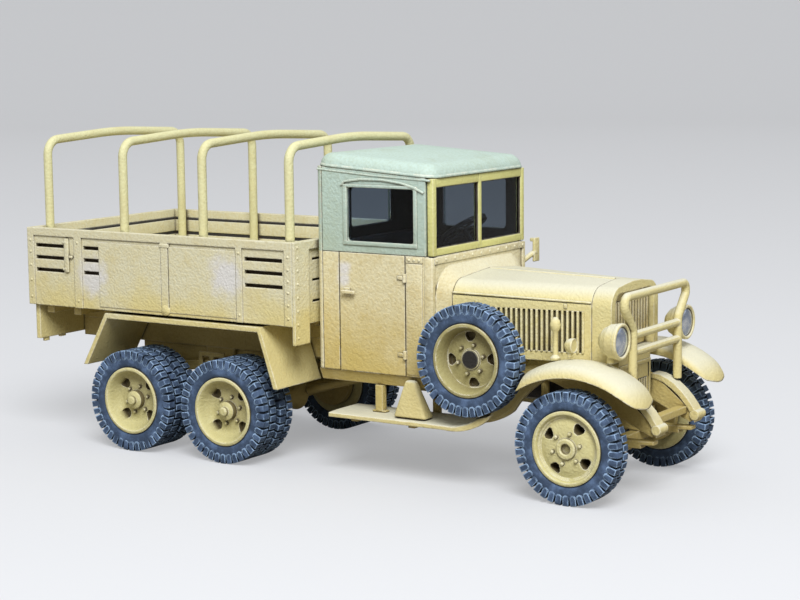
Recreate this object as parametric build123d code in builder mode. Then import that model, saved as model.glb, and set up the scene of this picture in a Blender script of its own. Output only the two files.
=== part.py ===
"""Small-scale model of a six-wheeled military cargo truck, as separate named pieces.

Millimetres. +X is forward, +Y is the truck's left, +Z is up.
The origin is on the ground, under the middle of the model.
"""
from build123d import *
import os
from math import asin, cos, pi, radians, sin

os.makedirs("parts", exist_ok=True)

# How far a cut runs past the piece it cuts
cut_margin = 1.0

# Wheels
tyre_radius = 5.6
tyre_width = 2.2
tread_width = 1.6
lug_count = 24
lug_depth = 0.42
lug_flat = 0.56
bead_radius = 3.72
bead_clearance = 0.008
twin_pitch = 2.9
spindle_radius = 0.5
spindle_end = 0.4
running_clearance = 0.05
running_gap = 0.25
axle_height = 5.6
front_axle_x = 30.05
middle_axle_x = -10.16
rear_axle_x = -22.94
front_track_half = 10.05
rear_track_half = 11.99
vent_count = 4
vent_circle = 2.1
vent_depth = 1.2
vent_width = 1.3
vent_height = 0.8
vent_slope = 60

# Frame
rail_inner_y = 3.72
rail_width = 1.28
rail_top = 13.0
rail_depth = 2.1
rail_rear_x = -36.6
rail_bend_x = 25.0
rail_knee_x = 33.0
rail_knee_z = 10.2
horn_tip_x = 36.9
horn_tip_z = 7.0
horn_depth = 0.7
rail_bend_radius = 4.0
cross_bar_half = 0.5
cover_overlap = 0.5
# corners of the horn cover's side: top and low ones from the rail's knee, tip ones from the horn's tip
cover_top = ((-1.0, 0.9), (0.4, 0.5))
cover_tip = ((0.1, 0.7), (0.1, 0.3))
cover_low = ((0.2, 0.08), (-1.0, 0.42))
seat_gap = 0.05

# Springs, axles and drive line
leaf_thickness = 0.36
leaf_width = 1.1
front_leaf_spans = (3.4, 4.9, 6.3)
front_spring_low = 4.8
front_spring_radius = 40.0
front_spring_tilt = 5.0
shackle_radius = 0.4
shackle_rise = 1.9
rear_leaf_spans = (6.6, 5.2, 3.8, 2.6)
rear_spring_top = 9.6
rear_spring_radius = 30.0
spring_side_gap = 0.15
trunnion_radius = 0.7
hanger_half = 2.0
beam_width = 1.0
beam_depth = 1.0
kingpin_y = 6.9
kingpin_radius = 0.75
kingpin_top = 7.0
track_rod_back = 1.9
track_rod_z = 4.6
track_rod_radius = 0.28
axle_tube_radius = 0.8
diff_radius = 1.9
spring_pad_half = 0.4
spring_pad_gap = 0.15
drum_radius = 2.6
drum_width = 0.8
engine_low = 8.6
engine_high = 18.2
engine_half = 3.3
engine_rear_x = 15.4
engine_front_x = 28.6
gearbox_half = 1.6
gearbox_rear_x = 4.0
shaft_radius = 0.45
shaft_gap = 0.1

# Bonnet and radiator
bonnet_rear_x = 15.2
bonnet_front_x = 29.72
bonnet_half_rear = 7.4
bonnet_half_front = 5.2
bonnet_top_rear = 21.15
bonnet_top_front = 20.9
bonnet_crown = 0.6
bonnet_shoulder = 2.0
bonnet_ridge_bend = 14.0
bonnet_wall = 0.5
louvre_count = 21
louvre_first_x = 18.0
louvre_pitch = 0.53
louvre_width = 0.3
louvre_low = 14.0
louvre_high = 18.1
shell_front_x = 31.9
shell_rim = 0.9
grille_recess = 0.5
grille_plate = 0.5
grille_bars = 13
grille_bar_width = 0.26
apron_half = 3.5
apron_low = 8.8

# Cab
cab_rear_x = 0.0
cab_front_x = 14.1
cab_half = 9.49
cab_low = 10.77
cab_wall = 0.7
cab_corner = 0.6
cowl_corner = 1.4
scuttle_inset = 0.59
scuttle_top = 22.0
scuttle_shoulder = 3.2
belt_z = 23.05
door_rear_x = 2.81
door_front_x = 10.88
panel_gap = 0.06
side_window_rear_x = 3.87
side_window_front_x = 12.0
window_low = 24.25
window_high = 29.8
window_corner = 0.5
roof_rear_z = 31.9
roof_front_z = 30.94
roof_rise = 1.9
roof_side = 1.3
roof_overhang = 0.08
roof_corner = 1.2
roof_ridge_bend = 30.0
roof_wall = 0.6
screen_inset = 0.28
screen_post_half = 0.6
screen_post = 0.91
back_window_half = 4.0
back_window_low = 25.0
back_window_high = 29.2
glass_thickness = 0.3
cab_floor_thickness = 0.55
sill_low = 9.5
sill_inset = 0.8
sill_thickness = 0.5
seat_side_gap = 0.6
seat_back_gap = 0.3
seat_high = 10.4
seat_round = 0.4
wheel_rim_radius = 2.5
wheel_rim_tube = 0.22
wheel_spoke = 0.35
column_radius = 0.3
wheel_centre = (9.6, 4.0, 24.6)
column_foot = (12.9, 4.0, 19.6)

# Front mudguards and running boards
guard_crown_radius = 10.2
guard_crown_z = 3.8
guard_nose_radius = 4.0
guard_nose_start = 55.0
guard_nose_end = 8.0
guard_sweep_radius = 6.0
guard_inner_y = 5.75
board_stand = 1.85
guard_ridge_y = 8.6
guard_drop = 0.5
guard_lip = 2.6
guard_sheet = 0.5
guard_edge = 1.0
board_top = 6.61
board_thickness = 0.5
board_rear_x = 2.49
board_inner_y = 5.9
board_corner = 0.6
board_overlap = 1.0
board_bracket_x = (5.0, 12.0)
sill_post_x = 7.2
bracket_width = 0.8
strap_drop = 0.5
strap_end = 0.3
strap_thickness = 0.55
strap_setback = 1.0
lip_rear = (22.6, 9.0)
lip_top = (30.06, 12.49)
lip_front = (37.9, 9.25)

# Spare wheels
spare_x = 19.41
spare_z = 13.41
spare_inset = 0.35
well_clearance = 0.25
spare_hub = 0.95
carrier_clearance = 0.05
carrier_plate = 0.6
carrier_margin = 0.3
stem_end = 1.0
chock_rear_x = 9.9
chock_front_x = 15.3
chock_height = 4.1
chock_width = 2.2
chock_inset = 0.3
chock_rear_lean = 1.2
chock_front_lean = 2.3
chock_side_lean = 0.6

# Lamps, brush guard and small fittings
lamp_setback = 0.03
lamp_y = 7.4
lamp_z = 15.82
lamp_radius = 1.75
lamp_depth = 2.4
lamp_wall = 0.3
# share of the lamp's depth and of its radius at each turn of the bowl
lamp_bowl = ((0.12, 1.0), (0.45, 0.93), (0.72, 0.72), (0.92, 0.4))
lamp_post = 0.35
lens_proud = 0.1
tube_radius = 0.45
tube_bar_radius = 0.4
tube_sides = 8
tube_stand = 2.25
tube_post_y = 5.1
tube_post_low = 10.42
tube_bar_z = (14.44, 16.12)
tube_head_y = 6.9
tube_bend_z = 16.7
tube_head_low = 18.9
tube_head_top = 20.0
tube_bend = 0.9
marker_x = 27.3
marker_y = 8.1
marker_top = 17.3
marker_ball = 0.55
marker_edge = 0.25
marker_stick = 0.28
side_lamp_x = 29.6
side_lamp_y = 8.4
side_lamp_z = 15.2
side_lamp_radius = 0.75
side_lamp_depth = 1.1
mirror_x = 13.0
mirror_stand = 2.11
mirror_foot_z = 20.2
mirror_head_z = 22.0
mirror_height = 2.6
mirror_width = 1.4
mirror_stick = 0.3
mirror_lean = 0.6
mirror_plate = 0.4

# Cargo bed
bed_rear_x = -37.53
bed_front_x = -0.7
bed_half = 13.0
bed_low = 15.4
bed_top = 24.12
bed_wall = 0.58
bed_trim = 0.15
bed_plate = 0.08
bed_plate_margin = 0.35
rib_foot = 0.6
bed_floor = 0.7
bed_rail = 0.87
slot_height = 0.4
# rear and front x of each group of ventilation slots, and the low edges of the three rows
bed_slots = ((-36.4, -32.2), (-29.3, -27.0), (-6.9, -2.0))
bed_slot_z = (19.2, 20.6, 21.95)
floor_planks = 8
plank_groove = 0.25
board_slot_z = (17.6, 19.8, 22.0)
board_slot_inner = 0.5
board_slot_margin = 2.9
strip_low = 13.45
strip_width = 2.6
strip_thickness = 0.35
hoop_x = (-35.27, -24.26, -13.25, -1.85)
hoop_inset = 0.67
hoop_radius = 0.5
hoop_corner = 1.7
hoop_shoulder_z = 33.8
hoop_crown_z = 34.4
hoop_crown_bend = 60.0
sill_height = 1.4
# x of the full-width bearers, and of the short ones between the rear mudguards
long_bearer_x = (-35.4, -31.4)
short_bearer_x = (-24.0, -16.55, -9.0, -3.6)
bearer_inset = 1.2
short_bearer_half = 5.0
bearer_half_width = 0.5
rear_board_low = 11.4
rear_board_thickness = 0.6

# Rear mudguards
rear_guard_rear = (-29.46, 9.19)
rear_guard_top_rear_x = -26.16
rear_guard_top_front_x = -4.92
rear_guard_front = (-2.7, 8.69)
rear_guard_top = 15.1
rear_guard_inner_y = 5.27
rear_guard_stand = 0.13
rear_guard_sheet = 0.55

rail_outer_y = rail_inner_y + rail_width
rail_low = rail_top - rail_depth
rail_mid_y = rail_inner_y + rail_width / 2
bed_inner = bed_half - bed_trim - bed_wall
strip_inner_y = bed_half - strip_width
hoop_half = bed_inner - hoop_inset
rear_guard_outer_y = bed_half + rear_guard_stand
tube_plane_x = shell_front_x + tube_stand
lamp_x = tube_plane_x - lamp_setback
guard_outer_y = cab_half + board_stand
spare_half = guard_outer_y - spare_inset
mirror_y = cab_half + mirror_stand
screen_half = cab_half - screen_inset
screen_side_half = screen_half - screen_post
scuttle_half = cab_half - scuttle_inset
floor_top = bed_low + bed_floor
bore_radius = spindle_radius + running_clearance
bogie_x = (middle_axle_x + rear_axle_x) / 2
spring_inner_y = rail_outer_y + spring_side_gap
spring_outer_y = spring_inner_y + leaf_width
bonnet_low = rail_top + seat_gap

# rear x, front x, low z and high z of the raised strips on each bed side
bed_trims = (
    (bed_rear_x, bed_front_x, bed_top - bed_rail, bed_top),
    (bed_rear_x, -36.6, bed_low, bed_top - bed_rail),
    (-30.58, -29.5, bed_low, bed_top - bed_rail),
    (-18.12, -17.15, bed_low + rib_foot, bed_top - bed_rail),
    (-7.97, -7.18, bed_low, bed_top - bed_rail),
    (-1.7, bed_front_x, bed_low, bed_top - bed_rail),
)
# rear and front x of the thin plates between those strips
bed_plates = ((-27.0, -18.2), (-17.07, -8.05))


def xz(y):
    """Upright plane along the truck at the given y; a positive extrude runs towards -Y."""
    return Plane.XZ.offset(-y)


def yz(x):
    """Upright plane across the truck at the given x; a positive extrude runs towards +X."""
    return Plane.YZ.offset(x)


def area(low, high, mode=Mode.ADD):
    """Rectangle of the current sketch between two corners."""
    with Locations(((low[0] + high[0]) / 2, (low[1] + high[1]) / 2)):
        Rectangle(high[0] - low[0], high[1] - low[1], mode=mode)


def block(x, y, z, mode=Mode.ADD):
    """Box that fills the ranges x, y and z, each a pair of ends."""
    with Locations(((x[0] + x[1]) / 2, (y[0] + y[1]) / 2, (z[0] + z[1]) / 2)):
        Box(abs(x[1] - x[0]), abs(y[1] - y[0]), abs(z[1] - z[0]), mode=mode)


def rod(start, end, radius, mode=Mode.ADD):
    """Round bar from one point to another."""
    run = Vector(*end) - Vector(*start)
    with Locations(Plane(origin=start, z_dir=run)):
        Cylinder(radius, run.length, align=(Align.CENTER, Align.CENTER, Align.MIN), mode=mode)


def save(piece, name):
    """Label a finished piece and write it."""
    piece.part.label = name
    export_step(piece.part, f"parts/{name}.step")


def tyre_solid(x, y, z):
    """Tyre about an axis along Y, with flat-topped cross lugs and faceted sidewalls."""
    pitch = 2 * pi / lug_count
    root_radius = tyre_radius - lug_depth
    side_slope = (root_radius - bead_radius) * cos(pitch / 2)
    rim_edge = (bead_radius + bead_clearance) / cos(pitch / 2)
    outline = []
    for lug in range(lug_count):
        for share, radius in (
            (0, root_radius),
            (0.5 - lug_flat / 2, tyre_radius),
            (0.5 + lug_flat / 2, tyre_radius),
        ):
            angle = (lug + share) * pitch
            outline.append((radius * cos(angle), radius * sin(angle)))
    middle = Plane(origin=(x, y, z), x_dir=(1, 0, 0), z_dir=(0, -1, 0))
    with BuildPart() as tyre:
        with BuildSketch(middle):
            RegularPolygon(root_radius, lug_count)
        extrude(amount=tyre_width / 2, both=True)
        for end in (0, -1):
            sidewall = tyre.faces().sort_by(Axis.Y)[end]
            chamfer(sidewall.edges(), side_slope, (tyre_width - tread_width) / 2, reference=sidewall)
        with BuildSketch(middle):
            Polygon(*outline, align=None)
        extrude(amount=tread_width / 2, both=True)
        with BuildSketch(middle):
            RegularPolygon(rim_edge, lug_count)
        extrude(amount=tyre_width, both=True, mode=Mode.SUBTRACT)
    return tyre.part


def disc_solid(x, face_y, z, side, outline):
    """Wheel disc turned from an outline of (radius, distance inward from the face) corners."""
    with BuildPart() as disc:
        with BuildSketch(Plane.XY.offset(z)):
            Polygon(*[(x + radius, side * (face_y - inward)) for radius, inward in outline], align=None)
        revolve(axis=Axis((x, 0, z), (0, 1, 0)))
        with BuildSketch(Plane(origin=(x, side * (face_y + cut_margin), z), x_dir=(1, 0, 0), z_dir=(0, -side, 0))):
            with PolarLocations(vent_circle, vent_count, start_angle=45):
                Trapezoid(vent_width, vent_height, vent_slope, rotation=-90)
        extrude(amount=cut_margin + vent_depth, mode=Mode.SUBTRACT)
    return disc.part


def leaf_pack(middle, radius, half_spans, arch):
    """Stack of curved leaves about a plane's origin; arch is 1 where the middle stands above the ends, else -1."""
    with BuildPart() as pack:
        for index, half_span in enumerate(half_spans):
            half_angle = asin(half_span / radius)
            with BuildSketch(middle):
                with BuildLine():
                    ends = []
                    for r in (radius - index * leaf_thickness, radius - (index + 1) * leaf_thickness):
                        rise = arch * (r * cos(half_angle) - radius)
                        left = (-r * sin(half_angle), rise)
                        right = (r * sin(half_angle), rise)
                        ThreePointArc(left, (0, arch * (r - radius)), right)
                        ends.append((left, right))
                    Line(ends[0][0], ends[1][0])
                    Line(ends[0][1], ends[1][1])
                make_face()
            extrude(amount=leaf_width)
    return pack.part


# Frame: two rails that drop to the spring horns, with the bars between them
with BuildPart() as frame_rails:
    with BuildSketch(xz(rail_outer_y)) as rail_side:
        Polygon(
            (rail_rear_x, rail_low),
            (rail_rear_x, rail_top),
            (rail_bend_x, rail_top),
            (rail_knee_x, rail_knee_z),
            (horn_tip_x, horn_tip_z),
            (horn_tip_x - horn_depth, horn_tip_z - horn_depth),
            (rail_knee_x - horn_depth, rail_knee_z - rail_depth),
            (rail_bend_x, rail_low),
            align=None,
        )
        bends = rail_side.vertices().filter_by_position(Axis.X, rail_bend_x - 0.1, rail_knee_x + 0.1)
        fillet(bends, rail_bend_radius)
    extrude(amount=rail_width)
    mirror(about=Plane.XZ)
save(frame_rails, "frame_rails")

# x, low z and high z of each bar between the rails
cross_bars = (
    (-35.6, 11.2, 12.7),
    (bogie_x, 11.2, 12.7),
    (-2.4, 11.2, 12.7),
    (12.4, 11.0, 12.5),
    (35.4, 7.2, 7.9),
)
with BuildPart() as cross_members:
    for bar_x, bar_low, bar_high in cross_bars:
        block((bar_x - cross_bar_half, bar_x + cross_bar_half), (-rail_inner_y, rail_inner_y), (bar_low, bar_high))
save(cross_members, "cross_members")

# Bogie pivot: a tube in hangers under the rails, with the springs' middles resting on it
pack_depth = leaf_thickness * len(rear_leaf_spans)
trunnion_z = rear_spring_top - pack_depth - seat_gap - trunnion_radius
with BuildPart() as trunnion:
    rod((bogie_x, -spring_outer_y, trunnion_z), (bogie_x, spring_outer_y, trunnion_z), trunnion_radius)
    with BuildSketch(xz(rail_outer_y)):
        Polygon(
            (bogie_x - hanger_half, rail_low),
            (bogie_x - trunnion_radius, trunnion_z - trunnion_radius),
            (bogie_x + trunnion_radius, trunnion_z - trunnion_radius),
            (bogie_x + hanger_half, rail_low),
            align=None,
        )
    hanger = extrude(amount=rail_width)
    mirror(hanger, about=Plane.XZ)
save(trunnion, "trunnion")

# Curved covers that sit on the horns
with BuildPart() as horn_covers:
    with BuildSketch(xz(rail_outer_y + cover_overlap)) as cover_side:
        Polygon(
            *[(rail_knee_x + x, rail_knee_z + z) for x, z in cover_top],
            *[(horn_tip_x + x, horn_tip_z + z) for x, z in cover_tip],
            *[(rail_knee_x + x, rail_knee_z + z) for x, z in cover_low],
            align=None,
        )
        bend_ends = (rail_knee_x, rail_knee_x + cover_overlap)
        fillet(cover_side.vertices().filter_by_position(Axis.X, *bend_ends), rail_bend_radius)
    extrude(amount=rail_width + 2 * cover_overlap)
    mirror(about=Plane.XZ)
save(horn_covers, "horn_covers")

# Springs: the front ones hang below the horns, the rear ones arch over the trunnion
tilt = radians(front_spring_tilt)
front_spring_plane = Plane(
    origin=(front_axle_x, rail_mid_y + leaf_width / 2, front_spring_low),
    x_dir=(cos(tilt), 0, -sin(tilt)),
    z_dir=(0, -1, 0),
)
front_leaves = leaf_pack(front_spring_plane, front_spring_radius, front_leaf_spans, -1)
shackle_x = front_axle_x - front_leaf_spans[-1] + shackle_radius
with BuildPart() as front_springs:
    add(front_leaves)
    shackle_low = front_spring_low + shackle_rise
    rod((shackle_x, rail_mid_y, shackle_low), (shackle_x, rail_mid_y, rail_low - seat_gap), shackle_radius)
    mirror(about=Plane.XZ)
save(front_springs, "front_springs")

rear_spring_plane = Plane(origin=(bogie_x, spring_outer_y, rear_spring_top), x_dir=(1, 0, 0), z_dir=(0, -1, 0))
rear_leaves = leaf_pack(rear_spring_plane, rear_spring_radius, rear_leaf_spans, 1)
with BuildPart() as rear_springs:
    add(rear_leaves)
    mirror(about=Plane.XZ)
save(rear_springs, "rear_springs")

# Front axle beam, and the knuckles with their spindles, joined by the track rod
beam_top = front_spring_low - seat_gap
beam_low = beam_top - beam_depth
beam_half = kingpin_y - kingpin_radius - seat_gap
with BuildPart() as front_axle:
    with BuildSketch(xz(beam_half)):
        area((front_axle_x - beam_width / 2, beam_low), (front_axle_x + beam_width / 2, beam_top))
    extrude(amount=2 * beam_half)
save(front_axle, "front_axle")

front_plate_y = front_track_half - tyre_width / 2 - running_gap
track_rod_x = front_axle_x - track_rod_back
with BuildPart() as front_knuckles:
    for side in (-1, 1):
        kingpin = (front_axle_x, side * kingpin_y)
        rod((*kingpin, beam_low), (*kingpin, kingpin_top), kingpin_radius)
        spindle_y = front_track_half + spindle_end
        rod((*kingpin, axle_height), (front_axle_x, side * spindle_y, axle_height), spindle_radius)
        rod(
            (front_axle_x, side * (front_plate_y - drum_width), axle_height),
            (front_axle_x, side * front_plate_y, axle_height),
            drum_radius,
        )
        rod((*kingpin, track_rod_z), (track_rod_x, side * kingpin_y, track_rod_z), track_rod_radius)
    rod((track_rod_x, -kingpin_y, track_rod_z), (track_rod_x, kingpin_y, track_rod_z), track_rod_radius)
save(front_knuckles, "front_knuckles")

# Driven rear axles: casing, differential bulge, brake drums, spring pads and spindles
rear_plate_y = rear_track_half - twin_pitch - tyre_width / 2 - running_gap
pad_angle = asin((rear_axle_x - bogie_x) / rear_spring_radius)
pad_top = rear_spring_top - rear_spring_radius + (rear_spring_radius - leaf_thickness) * cos(pad_angle) - seat_gap
with BuildPart() as rear_axles:
    for axle_x in (middle_axle_x, rear_axle_x):
        rod((axle_x, -rear_plate_y, axle_height), (axle_x, rear_plate_y, axle_height), axle_tube_radius)
        for side in (-1, 1):
            with Locations(Plane(origin=(axle_x, 0, axle_height), z_dir=(0, side, 0))):
                Cone(diff_radius, axle_tube_radius, diff_radius, align=(Align.CENTER, Align.CENTER, Align.MIN))
            spindle_tip = (axle_x, side * (rear_track_half + spindle_end), axle_height)
            rod((axle_x, side * rear_plate_y, axle_height), spindle_tip, spindle_radius)
            drum_back = (axle_x, side * (rear_plate_y - drum_width), axle_height)
            rod(drum_back, (axle_x, side * rear_plate_y, axle_height), drum_radius)
            block(
                (axle_x - spring_pad_half, axle_x + spring_pad_half),
                (side * spring_inner_y, side * spring_outer_y),
                (axle_height, pad_top - spring_pad_gap),
            )
save(rear_axles, "rear_axles")

# Engine and gearbox as one block, and the shafts that run back from it
with BuildPart() as engine:
    block((engine_rear_x, engine_front_x), (-engine_half, engine_half), (engine_low, engine_high))
    block((gearbox_rear_x, engine_rear_x), (-gearbox_half, gearbox_half), (engine_low, cross_bars[3][1] - seat_gap))
save(engine, "engine")

shaft_z = engine_low + gearbox_half / 2
with BuildPart() as propeller_shafts:
    rod(
        (gearbox_rear_x - shaft_gap, 0, shaft_z),
        (middle_axle_x + diff_radius + shaft_gap, 0, axle_height + shaft_radius),
        shaft_radius,
    )
    rod(
        (middle_axle_x - diff_radius - shaft_gap, 0, axle_height),
        (rear_axle_x + diff_radius + shaft_gap, 0, axle_height),
        shaft_radius,
    )
save(propeller_shafts, "propeller_shafts")

# Bonnet: a tapering shell over the engine, with rows of slots in its sides
with BuildPart() as bonnet:
    for wall, mode in ((0, Mode.ADD), (bonnet_wall, Mode.SUBTRACT)):
        # x, half width and crown height of the two ends
        for end_x, half, top in (
            (bonnet_rear_x, bonnet_half_rear, bonnet_top_rear),
            (bonnet_front_x, bonnet_half_front, bonnet_top_front),
        ):
            with BuildSketch(yz(end_x)) as section:
                edge = half - wall
                crown = top - wall
                Polygon(
                    (-edge, bonnet_low),
                    (-edge, crown - bonnet_crown),
                    (0, crown),
                    (edge, crown - bonnet_crown),
                    (edge, bonnet_low),
                    align=None,
                )
                fillet(section.vertices().group_by(Axis.Y)[-2], bonnet_shoulder - wall)
                fillet(section.vertices().group_by(Axis.Y)[-1], bonnet_ridge_bend)
        loft(mode=mode)
    slot_run = (louvre_count - 1) * louvre_pitch / 2
    with BuildSketch(Plane.XZ):
        with Locations((louvre_first_x + slot_run, (louvre_low + louvre_high) / 2)):
            with GridLocations(louvre_pitch, 1, louvre_count, 1):
                Rectangle(louvre_width, louvre_high - louvre_low)
    extrude(amount=cab_half, both=True, mode=Mode.SUBTRACT)
save(bonnet, "bonnet")

# Radiator shell with its grille set back inside the rim
with BuildPart() as radiator_shell:
    with BuildSketch(yz(bonnet_front_x + seat_gap)) as shell_front:
        Polygon(
            (-apron_half, apron_low),
            (-apron_half, bonnet_low),
            (-bonnet_half_front, bonnet_low),
            (-bonnet_half_front, bonnet_top_front - bonnet_crown),
            (0, bonnet_top_front),
            (bonnet_half_front, bonnet_top_front - bonnet_crown),
            (bonnet_half_front, bonnet_low),
            (apron_half, bonnet_low),
            (apron_half, apron_low),
            align=None,
        )
        shoulder_z = bonnet_top_front - bonnet_crown
        fillet(shell_front.vertices().group_by(Axis.Y)[-2], bonnet_shoulder)
        fillet(shell_front.vertices().group_by(Axis.Y)[-1], bonnet_ridge_bend)
    extrude(amount=shell_front_x - bonnet_front_x - seat_gap)
    grille_half = bonnet_half_front - shell_rim
    grille_low = bonnet_low + shell_rim
    grille_high = shoulder_z - shell_rim / 2
    with BuildSketch(yz(shell_front_x)) as grille_hole:
        area((-grille_half, grille_low), (grille_half, grille_high))
        fillet(grille_hole.vertices().group_by(Axis.Y)[-1], bonnet_shoulder - shell_rim)
    extrude(amount=-(grille_recess + 2 * grille_plate), mode=Mode.SUBTRACT)
save(radiator_shell, "radiator_shell")

with BuildPart() as radiator_grille:
    with BuildSketch(yz(shell_front_x - grille_recess - 2 * grille_plate)) as grille_back:
        area((-grille_half + panel_gap, grille_low + panel_gap), (grille_half - panel_gap, grille_high - panel_gap))
        fillet(grille_back.vertices().group_by(Axis.Y)[-1], bonnet_shoulder - shell_rim)
    extrude(amount=grille_plate)
    bar_pitch = 2 * (grille_half - bonnet_shoulder / 4) / (grille_bars - 1)
    with BuildSketch(yz(shell_front_x - grille_recess - grille_plate)):
        with Locations((0, (grille_low + grille_high) / 2)):
            with GridLocations(bar_pitch, 1, grille_bars, 1):
                Rectangle(grille_bar_width, grille_high - grille_low - bonnet_shoulder)
    extrude(amount=grille_plate)
save(radiator_grille, "radiator_grille")

# Cab: cowl, doors, rear quarters, uppers with their windows, back, windscreen frame and roof
cab_inner = cab_half - cab_wall
with BuildPart() as cowl:
    with BuildSketch(Plane.XY.offset(cab_low)) as cowl_plan:
        area((door_front_x + panel_gap, -cab_half), (cab_front_x, cab_half))
        fillet(cowl_plan.vertices().group_by(Axis.X)[-1], cowl_corner)
        area((door_front_x, -cab_inner), (cab_front_x - cab_wall, cab_inner), mode=Mode.SUBTRACT)
    extrude(amount=belt_z - cab_low)
    block(
        (cab_front_x - 2 * cab_wall, cab_front_x + cab_wall),
        (-rail_outer_y - seat_gap, rail_outer_y + seat_gap),
        (cab_low - cab_wall, rail_top + seat_gap),
        mode=Mode.SUBTRACT,
    )
    # x, half width, crown height, drop of the shoulders and their radius at the scuttle's two ends
    for end_x, half, top, drop, shoulder in (
        (cab_front_x, scuttle_half, scuttle_top, seat_gap, scuttle_shoulder),
        (bonnet_rear_x - panel_gap, bonnet_half_rear, bonnet_top_rear, bonnet_crown, bonnet_shoulder),
    ):
        with BuildSketch(yz(end_x)) as section:
            Polygon(
                (-half, bonnet_low),
                (-half, top - drop),
                (0, top),
                (half, top - drop),
                (half, bonnet_low),
                align=None,
            )
            fillet(section.vertices().group_by(Axis.Y)[-2], shoulder)
    loft(ruled=True)
save(cowl, "cowl")

with BuildPart() as doors:
    with BuildSketch(xz(cab_half)):
        area((door_rear_x + panel_gap, cab_low), (door_front_x - panel_gap, belt_z))
    extrude(amount=cab_wall)
    mirror(about=Plane.XZ)
save(doors, "doors")

with BuildPart() as cab_quarters:
    with BuildSketch(xz(cab_half)):
        area((cab_rear_x + cab_wall + panel_gap, cab_low), (door_rear_x - panel_gap, belt_z))
    extrude(amount=cab_wall)
    mirror(about=Plane.XZ)
save(cab_quarters, "cab_quarters")


def roof_edge_z(x):
    """Height of the roof's lower edge, which slopes down to the front."""
    return roof_rear_z + (roof_front_z - roof_rear_z) * (x - cab_rear_x) / (cab_front_x - cab_rear_x)


upper_rear_x = cab_rear_x + cab_wall + panel_gap
upper_front_x = cab_front_x - cab_wall - panel_gap
with BuildPart() as cab_uppers:
    with BuildSketch(xz(cab_half)):
        Polygon(
            (upper_rear_x, belt_z + panel_gap),
            (upper_rear_x, roof_edge_z(upper_rear_x) - panel_gap),
            (upper_front_x, roof_edge_z(upper_front_x) - panel_gap),
            (upper_front_x, belt_z + panel_gap),
            align=None,
        )
        with BuildSketch(mode=Mode.SUBTRACT) as side_opening:
            area((side_window_rear_x, window_low), (side_window_front_x, window_high))
            fillet(side_opening.vertices(), window_corner)
    extrude(amount=cab_wall)
    mirror(about=Plane.XZ)
save(cab_uppers, "cab_uppers")

with BuildPart() as cab_back:
    with BuildSketch(yz(cab_rear_x)):
        area((-cab_half, cab_low), (cab_half, roof_rear_z - panel_gap))
        area((-rail_outer_y - seat_gap, cab_low), (rail_outer_y + seat_gap, rail_top + seat_gap), mode=Mode.SUBTRACT)
        with BuildSketch(mode=Mode.SUBTRACT) as back_opening:
            area((-back_window_half, back_window_low), (back_window_half, back_window_high))
            fillet(back_opening.vertices(), window_corner)
    extrude(amount=cab_wall)
    corners = cab_back.edges().filter_by(Axis.Z).group_by(Axis.X)[0]
    fillet(corners.filter_by(lambda edge: abs(abs(edge.center().Y) - cab_half) < 0.01), cab_corner)
save(cab_back, "cab_back")

with BuildPart() as windscreen_frame:
    with BuildSketch(yz(cab_front_x - cab_wall)):
        area((-screen_half, belt_z + panel_gap), (screen_half, roof_front_z - panel_gap))
        for side in (-1, 1):
            with BuildSketch(mode=Mode.SUBTRACT) as pane_opening:
                pane_y = sorted((side * screen_post_half, side * screen_side_half))
                area((pane_y[0], window_low), (pane_y[1], window_high))
                fillet(pane_opening.vertices(), window_corner)
    extrude(amount=cab_wall)
save(windscreen_frame, "windscreen_frame")

with BuildPart() as roof:
    roof_half = cab_half + roof_overhang
    for wall, mode in ((0, Mode.ADD), (roof_wall, Mode.SUBTRACT)):
        # the two ends of the roof
        for end_x in (cab_rear_x - roof_overhang + wall, cab_front_x + 2 * roof_overhang - wall):
            with BuildSketch(yz(end_x)) as section:
                low = roof_edge_z(end_x)
                edge = roof_half - wall
                side_z = low + roof_side - wall / 2
                Polygon(
                    (-edge, low),
                    (-edge, side_z),
                    (0, low + roof_rise - wall),
                    (edge, side_z),
                    (edge, low),
                    align=None,
                )
                fillet(section.vertices().group_by(Axis.Y)[-2], roof_corner - wall)
                fillet(section.vertices().group_by(Axis.Y)[-1], roof_ridge_bend)
        loft(mode=mode)
save(roof, "roof")

with BuildPart() as window_panes:
    pane_mid_y = cab_half - cab_wall / 2 + glass_thickness / 2
    with BuildSketch(xz(pane_mid_y)) as side_pane:
        area(
            (side_window_rear_x + panel_gap, window_low + panel_gap),
            (side_window_front_x - panel_gap, window_high - panel_gap),
        )
        fillet(side_pane.vertices(), window_corner)
    side_glass = extrude(amount=glass_thickness)
    mirror(side_glass, about=Plane.XZ)
    # plane x, then the y range and z range of each front and rear pane
    for pane_x, low_y, high_y, low_z, high_z in (
        (cab_front_x - cab_wall / 2, screen_post_half, screen_side_half, window_low, window_high),
        (cab_front_x - cab_wall / 2, -screen_side_half, -screen_post_half, window_low, window_high),
        (cab_rear_x + cab_wall / 2, -back_window_half, back_window_half, back_window_low, back_window_high),
    ):
        with BuildSketch(yz(pane_x - glass_thickness / 2)) as pane:
            area((low_y + panel_gap, low_z + panel_gap), (high_y - panel_gap, high_z - panel_gap))
            fillet(pane.vertices(), window_corner)
        extrude(amount=glass_thickness)
save(window_panes, "window_panes")

# Cab floor on the rails, the sloping sills under its sides, the bench and the steering wheel
floor_low = rail_top + seat_gap
with BuildPart() as cab_floor:
    block(
        (cab_rear_x + cab_wall + panel_gap, cab_front_x - cab_wall - panel_gap),
        (-cab_inner + panel_gap, cab_inner - panel_gap),
        (floor_low, floor_low + cab_floor_thickness),
    )
save(cab_floor, "cab_floor")

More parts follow.
